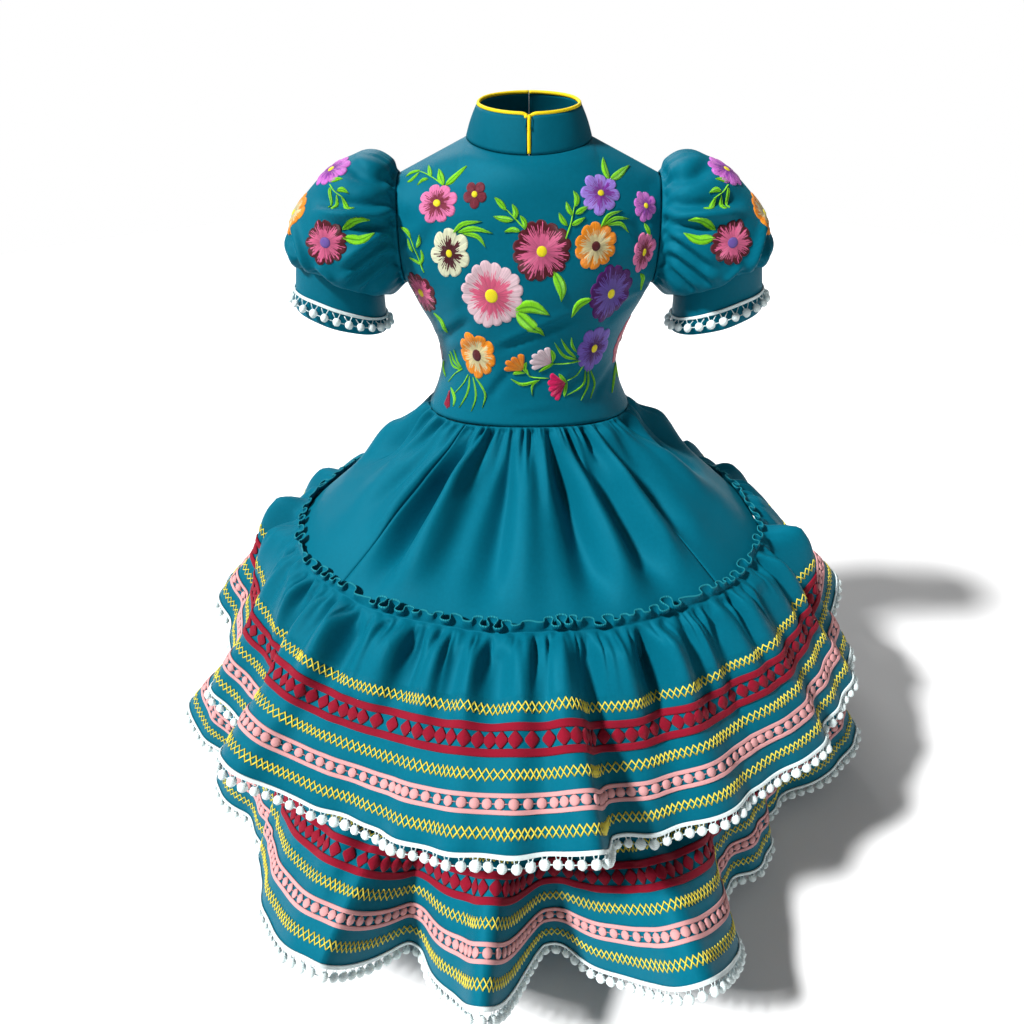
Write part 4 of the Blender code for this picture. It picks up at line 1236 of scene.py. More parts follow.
@dataclass
class Tier:
    """One ruffle in a front and a back, gathered into the skirt, and the ground of its trims.

    Its hem swings between the outer and inner turning points of the folds. Its radius grows from the
    seam towards the hem without folds, the folds open late, and each short step falls by what its
    growth leaves of the cloth. Fold points are degrees and centimetres; other sizes are centimetres,
    but the flat widths, of front and back, are metres. grounds() fills in the last six fields: angles
    of the coarse and fine columns, the column at the wearer's right, distances below the seam, and
    the outer face in fine and in coarse columns.
    """

    name: str
    skirt: Skirt
    folds: tuple[tuple[float, float, float, float], ...]
    along: float
    length: float
    seat: float
    frill: bool
    seed: int
    flat_width: Place
    waves: int = 92
    frill_height: float = 1.25
    per_wave: int = 14
    fine_rows: int = 16
    coarse: Array = field(init=False)
    fine: Array = field(init=False)
    side_column: int = field(init=False)
    down: Array = field(init=False)
    full: Surface = field(init=False)
    surface: Surface = field(init=False)

    def hem(self, turns: Array) -> tuple[Array, Array]:
        """Radii of the hem, a cosine from each turning point to the next, and of one without folds."""
        marks = sorted([(a, r) for a, r, _, _ in self.folds] + [(b, q) for _, _, b, q in self.folds])
        degrees = np.array([m[0] for m in marks] + [marks[0][0] + 360.0])
        reaches = np.array([m[1] for m in marks] + [marks[0][1]])
        at = (np.degrees(turns) - degrees[0]) % 360 + degrees[0]
        k = np.clip(np.searchsorted(degrees, at, side="right") - 1, 0, len(marks) - 1)
        share = (at - degrees[k]) / (degrees[k + 1] - degrees[k])
        radii = reaches[k] + (reaches[k + 1] - reaches[k]) * (1 - np.cos(np.pi * share)) / 2
        halfway = (degrees[:-1] + degrees[1:]) / 2
        calm = np.interp(at, halfway, (reaches[:-1] + reaches[1:]) / 2, period=360)
        return radii * CM, calm * CM

    def grounds(self) -> None:
        """Works out the outer face. Columns are closer where the hem runs in and out, and one lies at
        each side.
        """
        count = self.waves * self.per_wave // 2
        fine = np.linspace(0, 2 * math.pi, 7201)
        radii = self.hem(fine)[0]
        arc = np.hypot(np.diff(radii), radii[:-1] * np.diff(fine))
        dense = 0.5 * arc / arc.sum() + 0.5 / len(arc)
        reach = np.concatenate([[0], np.cumsum(dense)])
        behind = 2 * round(count * reach[3600] / 2)
        first = np.interp(np.linspace(0, reach[3600], behind + 1)[:-1], reach, fine)
        second = np.interp(np.linspace(reach[3600], 1, count - behind + 1)[:-1], reach, fine)
        self.side_column = behind
        self.coarse = np.concatenate([first, second])
        halfway = (self.coarse + np.append(self.coarse[1:], 2 * math.pi)) / 2
        self.fine = np.stack([self.coarse, halfway], 1).ravel()
        self.down = np.concatenate([[0, 0.15, 0.35, 0.6, 0.9, 1.3, 1.8, 2.4],
                                    np.linspace(2.9, self.length - 0.25, 36), [self.length]])
        fall = Surface(self.fall(self.fine, self.down), ring=True)
        self.full = fall.moved(self.drape(self.down[:, None], self.fine[None]) * CM)
        self.surface = Surface(self.full.points[:, ::2], ring=True)

    def outward(self, turns: Array) -> Array:
        """Outward directions of the skirt along the seam."""
        above, seam = self.skirt.row(self.along - 1, turns), self.skirt.row(self.along, turns)
        return Surface(np.array([above, seam]), ring=True).normals[1]

    def fall(self, turns: Array, down: Array) -> Array:
        """Points of the tier at some distances below its seam."""
        seat = self.seat + (self.skirt.lift(np.array([self.along]), turns) if self.frill else 0 * turns)
        start = self.skirt.row(self.along, turns) + self.outward(turns) * (seat * CM)[:, None]
        if not self.frill:
            start -= (0, 0, 2 * SEAM)
        hem, calm = self.hem(turns)
        first = np.hypot(start[:, 0], start[:, 1])
        share = np.linspace(0, 1, 121)[:, None]
        radius = first + (calm - first) * (1 - (1 - share) ** 1.1) + (hem - calm) * share**1.5
        growth = np.diff(radius, axis=0)
        step = self.length * CM / 120
        drop = np.sqrt(np.maximum(step**2 - growth**2, (0.2 * step) ** 2))
        height = start[:, 2] - np.concatenate([0 * drop[:1], np.cumsum(drop, axis=0)])
        at = down / self.length * 120
        low = np.minimum(at.astype(int), 119)
        t = (at - low)[:, None]
        r = radius[low] * (1 - t) + radius[low + 1] * t
        z = height[low] * (1 - t) + height[low + 1] * t
        return np.stack([r * np.cos(turns), r * np.sin(turns), z], -1)

    def wave(self, turns: Array) -> Array:
        """The phase of the frill's waves, counted by fine columns and a little uneven."""
        even = 2 * math.pi * np.arange(turns.shape[-1]) / self.per_wave
        return even + 1.5 * sway(turns, self.seed, (9, 14, 19, 26))

    def drape(self, down: Array, turns: Array) -> Array:
        """How far the cloth moves off its smooth fall, in centimetres.

        Fine puckers sit right under the seam. Valleys start there too: in the upper tier three
        families from short and narrow to long and wide, in the lower one a single long family. Soft
        folds follow below them, and faint ripples run down to the hem.
        """
        strength = 0.65 + 0.35 * sway(turns, self.seed + 1, (23, 31, 37))
        pucker = (0.5 + 0.5 * np.sin(self.wave(turns))) * 0.40 * strength
        pucker = pucker * ease(down, -0.1, 0.45) * np.exp(-((down / 1.7) ** 1.5))
        if self.frill:
            for seed, count, reach, depth, width in ((8, 96, (1.5, 6.0), (0.35, 0.80), 0.0065),
                                                     (9, 78, (2.0, 9.5), (0.40, 1.15), 0.0125),
                                                     (10, 36, (8.0, 20.0), (0.60, 1.45), 0.018)):
                deep = valleys(turns, down, self.seed + seed, count, reach, depth, width)
                pucker -= deep * ease(down, 0.0, 1.6)
        folds = sway(turns, self.seed + 2, (24, 31, 38, 47))
        folds = np.where(folds > 0, folds, folds * 0.8) * 1.30
        body = folds * ease(down, 0.2, 3.0) * (1 - 0.80 * ease(down, 4.0, self.length * 0.62))
        lift = 1.00 * ease(down, 0.0, 2.0) * (1 - ease(down, 3.0, 13.0))
        hem = 0.20 * sway(turns, self.seed + 3, (27, 35, 44, 53)) * ease(down, self.length * 0.4, self.length)
        if not self.frill:
            pucker -= valleys(turns, down, self.seed + 10, 30, (14.0, 30.0), (0.45, 1.20), 0.0085)
            pucker *= ease(down, 0.0, 0.8)
            lift = lift * 0.2
        return pucker + body + lift + hem

    def frill_rows(self) -> list[Array]:
        """Rows of the standing frill, from its raw edge down to the seam.

        It stands out at a slant and swings up and down the skirt, and sideways at twice the pace, so
        that its waves curl over like loops.
        """
        rows = []
        base = self.full.points[0]
        outward = self.outward(self.fine)
        phase = self.wave(self.fine)
        crest = 0.85 + 0.55 * sway(self.fine, self.seed + 6, (17, 29, 43))
        upright = self.frill_height * (1 + 0.10 * sway(self.fine, self.seed + 7, (19, 33, 51)))
        around = unit(np.roll(base, -1, axis=0) - np.roll(base, 1, axis=0))
        low = self.skirt.lift(np.array([self.along]), self.fine) + self.seat
        side = ease(np.abs(np.cos(self.fine)), 0.60, 0.88)
        for t in (1.0, 0.9, 0.72, 0.52, 0.34, 0.18, 0.07):
            swing = ease(t, 0.0, 0.8) * crest
            level = self.skirt.row(self.along - upright * 0.66 * t - 0.42 * swing * np.sin(phase), self.fine)
            reach = low + (0.66 - 0.30 * side) * upright * t - 0.16 * swing * np.sin(phase)
            loop = -0.24 * swing * np.sin(2 * phase)
            rows.append(level + outward * (reach * CM)[:, None] + around * (loop * CM)[:, None])
        return rows

    def build(self) -> None:
        """Builds the front and the back, of which the upper tier's carry the frill on top."""
        self.grounds()
        outer: list[Array] = self.frill_rows() if self.frill else []
        frill = len(outer)
        above = Surface(np.array(outer + list(self.full.points[:2])), ring=True).normals
        inner = [row - normal * CLOTH * 0.55 for row, normal in zip(outer, above[:frill])]
        for k in range(len(self.down)):
            source = self.full if self.frill and k < self.fine_rows else self.surface
            outer.append(source.points[k])
            inner.append(source.points[k] - source.normals[k] * CLOTH)
        slots = [int(k < frill) for k in range(len(outer) - 1)]
        total, middle = len(self.coarse), self.side_column
        for part, first, last, width in (("back", 0, middle, self.flat_width[1]),
                                         ("front", middle, total, self.flat_width[0])):
            cut: list[list[Array]] = [[], []]
            for panel, rows in zip(cut, (outer, inner)):
                for row in rows:
                    per = len(row) // total
                    panel.append(draw_in(row[np.arange(first * per, last * per + 1) % len(row)]))
            piece = cloth(f"{self.name}_{part}", *cut, finishes=[TEAL, FRILL_TEAL], slots=slots)


TIER_1_FOLDS = (
    (0.0, 39.6, 13.0, 36.8), (28.0, 37.6, 44.0, 34.0), (60.0, 34.8, 76.0, 31.2), (91.0, 33.8, 106.0, 30.6),
    (121.0, 35.0, 137.0, 32.4), (153.0, 37.6, 169.0, 36.2), (180.0, 39.6, 197.5, 37.4),
    (207.5, 39.8, 214.5, 37.6), (225.5, 42.3, 243.0, 38.9), (264.0, 41.2, 272.0, 40.6),
    (278.0, 41.7, 282.5, 37.1), (300.0, 38.9, 306.5, 38.0), (320.0, 39.6, 326.0, 39.1),
    (339.0, 40.2, 350.0, 38.2))
TIER_2_FOLDS = (
    (12.0, 43.4, 26.0, 38.0), (40.0, 41.6, 53.0, 35.2), (66.0, 39.6, 78.0, 33.8), (91.0, 39.8, 104.0, 33.6),
    (117.0, 40.0, 131.0, 34.8), (146.0, 41.8, 158.0, 37.2), (170.0, 43.4, 180.0, 41.2),
    (190.0, 45.6, 201.0, 41.6), (208.0, 42.4, 214.0, 40.2), (246.0, 47.6, 252.0, 39.4),
    (265.0, 47.6, 272.5, 37.0), (290.0, 48.0, 308.0, 37.5), (314.0, 38.6, 326.0, 35.8),
    (344.0, 44.0, 360.0, 39.8))


# Trims, worked out flat and laid on the tiers and cuffs.


@dataclass
class Ground:
    """Flat places on a closed piece of cloth: s round it, and h up from its lower edge, in metres."""

    surface: Surface
    heights: Array

    def row(self, h: Array | float) -> Array:
        """The place between the rows at a height."""
        return np.interp(h, self.heights[::-1], np.arange(len(self.heights))[::-1])

    def line(self, h: float, lift: float = 0.0) -> Array:
        """The points of all columns at a height, raised by lift."""
        columns = np.arange(self.surface.points.shape[1], dtype=float)
        return self.surface.at(np.full(len(columns), float(self.row(h))), columns, lift)

    def reach(self, h: float) -> Array:
        """The distance round the cloth to each column at a height, and last once round."""
        line = self.line(h)
        return lengths(np.concatenate([line, line[:1]]))

    def column(self, s: Array, h: float) -> Array:
        """The place between the columns at a distance round the cloth, measured at a height."""
        reach = self.reach(h)
        return np.interp(np.mod(s, reach[-1]), reach, np.arange(len(reach)))

    def lay(self, s: Array, h: Array, lift: Array | float, level: float) -> Array:
        """Points at distances s round the cloth and heights h, raised by lift."""
        s, h, lift = np.broadcast_arrays(s, h, lift)
        return self.surface.at(self.row(h), self.column(s, level), lift)


# The section of two cords side by side on a flat seat, with a sewn groove between them.
CORDS = ((0.5, 0.0), (0.46, 0.8), (0.25, 1.0), (0.0, 0.80), (-0.25, 1.0), (-0.46, 0.8), (-0.5, 0.0))


def add_rail(pile: Pile, ground: Ground, h: float, width: float, seat: float, thick: float,
             level: float | None = None) -> None:
    """Adds a rail of two cords all round the cloth.

    Args:
        pile: Where the faces go.
        ground: The cloth.
        h: The height of the rail's middle.
        width: Its width.
        seat: The lift of its flat side.
        thick: Its thickness.
        level: The height at which the distance round is measured, if not its own.
    """
    profile = np.array([(h + width * a, seat + thick * b) for a, b in CORDS])
    rows = np.stack([ground.line(*point) for point in profile])
    faces, corners = lattice(len(CORDS), rows.shape[1], ring=True, tube=True)
    across = lengths(np.concatenate([profile, profile[:1]]))
    step = ground.reach(h if level is None else level)[-1] / rows.shape[1]
    pile.add(rows, faces, np.stack([corners[..., 1] * step, across[corners[..., 0]]], -1))


def add_pads(pile: Pile, ground: Ground, s: Array, h: float, outline: Array, seat: float,
             thick: float) -> None:
    """Adds one raised pad at each distance s round the cloth.

    A pad is its outline on the seat, a smaller ring of it near its full height, a middle point on top
    and one below. Its map is its own flat shape.
    """
    n = len(outline)
    inner, ends = outline * 0.84, np.zeros((2, 2))
    flat = np.concatenate([outline, inner, ends])
    lift = np.repeat([seat, seat + thick * 0.85, seat, seat + thick], (n, n, 1, 1))
    points = ground.lay(s[:, None] + flat[:, 0], h + flat[:, 1], lift, h)
    places = np.array([outline, inner])[:, np.arange(n + 1) % n]
    tips = np.zeros((2 * n, 4, 2))
    tips[:n, :2] = places[0][np.stack([np.arange(n) + 1, np.arange(n)], 1)]
    tips[n:, :2] = places[1][np.stack([np.arange(n), np.arange(n) + 1], 1)]
    rings, poles = points[:, : 2 * n].reshape(len(s), 2, n, 3), points[:, 2 * n :]
    add_rounds(pile, rings, poles, places, flip=True, tips=tips)


def add_threads(pile: Pile, paths: Array, outs: Array, width: float, height: float) -> None:
    """Adds one thread of three-sided section along each path, closed at both ends.

    Args:
        pile: Where the faces go.
        paths: Threads by points by 3.
        outs: The outward directions there, threads by points (or 1) by 3.
        width: The thread's width at its foot, in metres.
        height: Its height above the foot.
    """
    steps = paths.shape[1]
    side = unit(np.cross(unit(np.gradient(paths, axis=1)), outs)) * width / 2
    rings = np.concatenate([paths - side, paths + outs * height, paths + side], axis=2)
    faces, corners = lattice(steps, 3, ring=True)
    faces, corners = faces[:, ::-1], corners[:, ::-1]
    ends = np.array([[2, 1, 0, -1], [steps * 3 - 3, steps * 3 - 2, steps * 3 - 1, -1]])
    length = float(np.linalg.norm(paths[0, -1] - paths[0, 0]))
    uv = np.stack([corners[..., 0] * length / (steps - 1), corners[..., 1] * width], -1)
    pile.add_copies(rings.reshape(len(paths), -1, 3), np.concatenate([faces, ends]),
                    np.concatenate([uv, np.zeros((2, 4, 2))]))


@dataclass(frozen=True)
class BallFringe:
    """Cotton balls that hang from a tape by two bars each, and a thread from ball to ball.

    Sizes are in metres. The size is a ball's width, height and thickness. The foot of a bar is given
    along, down and out from the ball's place at the tape, and its head along and up from the ball's
    middle. The joining thread starts at its clearance from that middle.
    """

    size: tuple[float, float, float]
    foot: tuple[float, float, float]
    head: Place
    clear: float
    thread: Place
    seed: int
    sides: int = 8
    rings: int = 5

    def hang(self, pile: Pile, roots: Array, centres: Array, along: Array, down: Array, out: Array) -> None:
        """Adds the balls and threads.

        Args:
            pile: Where the faces go.
            roots: Each ball's place at the tape.
            centres: Its middle.
            along: Direction along the fringe there.
            down: Direction in which it hangs.
            out: Outward direction.
        """
        self.balls(pile, centres, along, down, out)
        aside, low, back = self.foot
        for sign in (-1, 1):
            start = roots - down * low + along * sign * aside - out * back
            end = centres - down * self.head[1] + along * sign * self.head[0] - out * back
            add_threads(pile, np.stack([start, end], 1), out[:, None], *self.thread)
        after = np.roll(centres, -1, axis=0)
        gap = unit(after - centres) * self.clear
        add_threads(pile, np.stack([centres + gap, after - gap], 1), out[:, None], *self.thread)

    def balls(self, pile: Pile, centres: Array, along: Array, down: Array, out: Array) -> None:
        """Adds the balls: ellipsoids on a few rings, each and each point of it a little uneven."""
        dice = np.random.default_rng(self.seed)
        polar = np.arange(1, self.rings + 1)[:, None] * math.pi / (self.rings + 1)
        turns = np.arange(self.sides) * 2 * math.pi / self.sides
        ring = np.stack(np.broadcast_arrays(np.sin(polar) * np.cos(turns), np.cos(polar),
                                            np.sin(polar) * np.sin(turns)), -1)
        ball = np.concatenate([ring.reshape(-1, 3), [[0, 1, 0], [0, -1, 0]]])
        uneven = 1 + 0.06 * dice.standard_normal((len(centres), 1, 1))
        uneven = uneven + 0.035 * dice.standard_normal((len(centres), len(ball), 1))
        x, y, z = np.moveaxis(ball * np.array(self.size) / 2 * uneven, -1, 0)[..., None]
        points = centres[:, None] + x * along[:, None] - y * down[:, None] + z * out[:, None]
        places = grid(np.arange(self.sides + 1) * 0.0012, np.arange(self.rings)[:, None] * 0.0016)
        rings = points[:, :-2].reshape(-1, self.rings, self.sides, 3)
        add_rounds(pile, rings, points[:, -2:], places, flip=True)


@dataclass
class TierTrims:
    """The trims of one tier, by their heights up from its hem, in centimetres: three yellow lines of
    crossed stitches, the red braid of diamonds, the pink braid of dots, and the ball fringe.

    In metres are the balls' size, the lift of the braids' flat side, the thickness of each braid's
    cords and of what lies between them, and the width and height of its bars.
    """

    tier: Tier
    red: Place = (8.20, 11.10)
    red_rail: float = 0.72
    diamond: Place = (1.30, 1.52)
    pink: Place = (3.50, 5.25)
    pink_rail: float = 0.40
    dot: Place = (1.13, 0.98)
    yellow: tuple[float, ...] = (2.0, 6.75, 12.35)
    cross: Place = (0.62, 0.92)
    stitch: float = 0.145
    ball_pitch: float = 1.22
    ball: tuple[float, float, float] = (0.0098, 0.0098, 0.0086)
    tape: float = 0.40
    seat: float = 0.0004
    red_thick: Place = (0.0015, 0.0014)
    pink_thick: Place = (0.0012, 0.0016)
    bar: Place = (0.0011, 0.0009)

    def ground(self) -> Ground:
        """The tier's cloth as a ground."""
        return Ground(self.tier.surface, (self.tier.length - self.tier.down) * CM)

    def spots(self, ground: Ground, h: float, pitch: float, seed: int, bunch: float = 0.25) -> Array:
        """Distances round the cloth of a pattern's repeats, a little bunched here and there."""
        length = ground.reach(h)[-1]
        count = round(length / (pitch * CM))
        k = np.arange(count)
        return (k + bunch * sway(2 * math.pi * k / count, seed, (11, 17, 29))) * length / count

    def rails(self, pile: Pile, ground: Ground, heights: Place, width: float, thick: float) -> Place:
        """Adds a braid's two double cords and returns its middle's height and half the gap there."""
        low, high = (v * CM for v in heights)
        rail = width * CM
        for h in (high - rail / 2, low + rail / 2):
            add_rail(pile, ground, h, rail, self.seat, thick)
        return (low + high) / 2, (high - low) / 2 - rail

    def red_braid(self, ground: Ground) -> None:
        """Two double cords, and between them diamonds that nearly meet at their corners."""
        pile = Pile()
        middle, _ = self.rails(pile, ground, self.red, self.red_rail, self.red_thick[0])
        wide, tall = self.diamond[0] * CM * 0.51, self.diamond[1] * CM / 2
        quarter = [(1.0, 0.16), (0.60, 0.58), (0.16, 1.0)]
        half = quarter + [(-x, y) for x, y in reversed(quarter)]
        outline = np.array(half + [(-x, -y) for x, y in half])
        spots = self.spots(ground, middle, self.diamond[0], self.tier.seed + 40)
        add_pads(pile, ground, spots, middle, outline * (wide, tall), self.seat, self.red_thick[1])
        self.finish(pile, "red_braid", "openwork", RED)

    def pink_braid(self, ground: Ground) -> None:
        """Two double cords, and between them round dots with short bars to the cords and each other."""
        pile = Pile()
        middle, gap = self.rails(pile, ground, self.pink, self.pink_rail, self.pink_thick[0])
        turns = np.arange(10) * math.pi / 5
        radius = self.dot[1] * CM / 2
        spots = self.spots(ground, middle, self.dot[0], self.tier.seed + 50)
        outline = np.stack([np.cos(turns), np.sin(turns)], -1) * radius
        add_pads(pile, ground, spots, middle, outline, self.seat, self.pink_thick[1])
        near, far = radius * 0.8, gap + 0.0006
        next_dot = self.dot[0] * CM - near
        for ends in (((0, near), (0, far)), ((0, -near), (0, -far)), ((near, 0), (next_dot, 0))):
            start, end = np.array(ends)
            places = np.array([start, (start + end) / 2, end])
            s, h = spots[:, None] + places[:, 0], middle + places[:, 1]
            self.threads(pile, ground, s, h, self.seat, middle, self.bar)
        self.finish(pile, "pink_braid", "openwork", PINK)

    def threads(self, pile: Pile, ground: Ground, s: Array, h: Array, lift: float, level: float,
                size: Place) -> None:
        """Adds threads of a width and height that lie on the cloth through places s and h."""
        foot = ground.lay(s, h, lift, level)
        add_threads(pile, foot, unit(ground.lay(s, h, 0.0030, level) - foot), *size)

    def stitching(self, ground: Ground) -> None:
        """Three lines of crossed stitches: two zigzags of one pitch that mirror each other."""
        pile = Pile()
        for line, h in enumerate(self.yellow):
            spots = self.spots(ground, h * CM, self.cross[0], self.tier.seed + 60 + line, 0.45)
            pitch = np.diff(np.append(spots, spots[0] + ground.reach(h * CM)[-1]))
            dice = np.random.default_rng(self.tier.seed + 70 + line)
            tall = self.cross[1] * CM / 2 * (1 + 0.06 * dice.standard_normal(len(spots)))
            share = np.array([-0.03, 0.5, 1.03])
            for sign, lift in ((1, 0.0004), (-1, 0.0002)):
                up = h * CM + sign * tall[:, None] * (1 - 2 * share)
                self.threads(pile, ground, spots[:, None] + pitch[:, None] * share, up, lift, h * CM,
                             (self.stitch * CM, 0.0006))
        pile.piece(f"yellow_stitching_{self.tier.name}", [YELLOW], None, "piping")

    def fringe(self, ground: Ground) -> None:
        """A tape of two cords at the hem, balls that hang from it by two bars each, and a thread
        that joins the balls.
        """
        pile = Pile()
        tape = self.tape * CM
        add_rail(pile, ground, tape / 2, tape, 0.0006, 0.0013)
        spots = self.spots(ground, 0.0, self.ball_pitch, self.tier.seed + 80, 0.12)
        hem = ground.lay(spots, 0.0, 0.0013, 0.0)
        above = ground.lay(spots, 0.0101, 0.0013, 0.0)
        ahead = ground.lay(spots + 0.002, 0.0, 0.0013, 0.0)
        out = unit(ground.lay(spots, 0.0, 0.0033, 0.0) - hem)
        along = unit(ahead - hem)
        down = unit(unit(hem - above) - (0, 0, 0.6))
        out = unit(out - down * (out * down).sum(1, keepdims=True))
        along = np.cross(down, out) * np.sign((np.cross(down, out) * along).sum(1, keepdims=True))
        balls = BallFringe(self.ball, (0.0024, 0.0006, 0.0003), (0.0014, 0.0036), 0.0042, (0.0011, 0.0010),
                           self.tier.seed + 81)
        balls.hang(pile, hem, hem + down * 0.0078, along, down, out)
        self.finish(pile, "ball_fringe", "cotton", WHITE)

    def finish(self, pile: Pile, trim: str, what: str, thread: Thread) -> None:
        """Makes the piece that stands for one of the tier's trims."""
        node = f"{trim}_{self.tier.name}"
        pile.piece(f"{node}_{what}", [thread], node, trim)

    def build(self) -> None:
        """Builds all trims of the tier."""
        ground = self.ground()
        self.red_braid(ground)
        self.pink_braid(ground)
        self.stitching(ground)
        self.fringe(ground)


@dataclass
class CuffFringe:
    """The ball fringe round a cuff. Its tape is sewn above the lower edge, and its balls hang in
    front of the cloth. Sizes are in centimetres, heights up from the cuff's edge.
    """

    top: float = 2.05
    tape: float = 0.32
    pitch: float = 1.13
    drop: float = 0.93
    balls: BallFringe = BallFringe((0.0084, 0.0086, 0.0070), (0.0040, 0.0, 0.0), (0.0010, 0.0030), 0.0036,
                                   (0.0010, 0.0009), 91)

    def build(self, name: str, cuff: Surface) -> None:
        """Builds the fringe of one cuff."""
        reach = np.linalg.norm(np.diff(cuff.points, axis=0), axis=2).mean(axis=1)
        heights = reach.sum() - np.concatenate([[0], np.cumsum(reach)])
        ground = Ground(cuff, heights)
        tape, top = self.tape * CM, self.top * CM
        pile = Pile()
        add_rail(pile, ground, top - tape / 2, tape, 0.0007, 0.0012, top)
        length = ground.reach(top)[-1]
        count = round(length / (self.pitch * CM))
        spots = np.arange(count) * length / count
        low = top - tape
        root = ground.lay(spots, low, 0.0012, top)
        spot = ground.lay(spots, low - self.drop * CM + tape * 0.5, 0.0042, top)
        out = unit(ground.lay(spots, low, 0.0052, top) - root)
        down = unit(spot - root)
        out = unit(out - down * (out * down).sum(1, keepdims=True))
        self.balls.hang(pile, root, spot, np.cross(out, down), down, out)
        pile.piece(f"ball_fringe_cuff_{name}_cotton", [WHITE], f"ball_fringe_cuff_{name}", "ball_fringe")


# Embroidery.


class Flower(NamedTuple):
    """A flower: its middle, half width and half height in centimetres, its lobes and kinds of thread.

    sweep is 360 for an open flower and less for a bud, which opens round the direction of turn. depth
    is how far the notches between lobes cut in, and eye_size the size of the flower's centre, both as
    a share of the whole.
    """

    at: tuple[float, ...]
    size: Place
    lobes: int
    bloom: Bloom
    eye: Eye | None = Eye.GOLD
    turn: float = 0.0
    sweep: float = 360.0
    depth: float = 0.15
    eye_size: float = 0.20


class Leaf(NamedTuple):
    """A leaf, blade or stem along a few places in centimetres, from its foot to its tip."""

    path: tuple[tuple[float, ...], ...]
    width: float
    stem: bool


def leaf(width: float, *path: tuple[float, ...]) -> Leaf:
    """A leaf or blade of a width in centimetres."""
    return Leaf(path, width, False)


def stem(width: float, *path: tuple[float, ...]) -> Leaf:
    """A stem of a width in centimetres."""
    return Leaf(path, width, True)


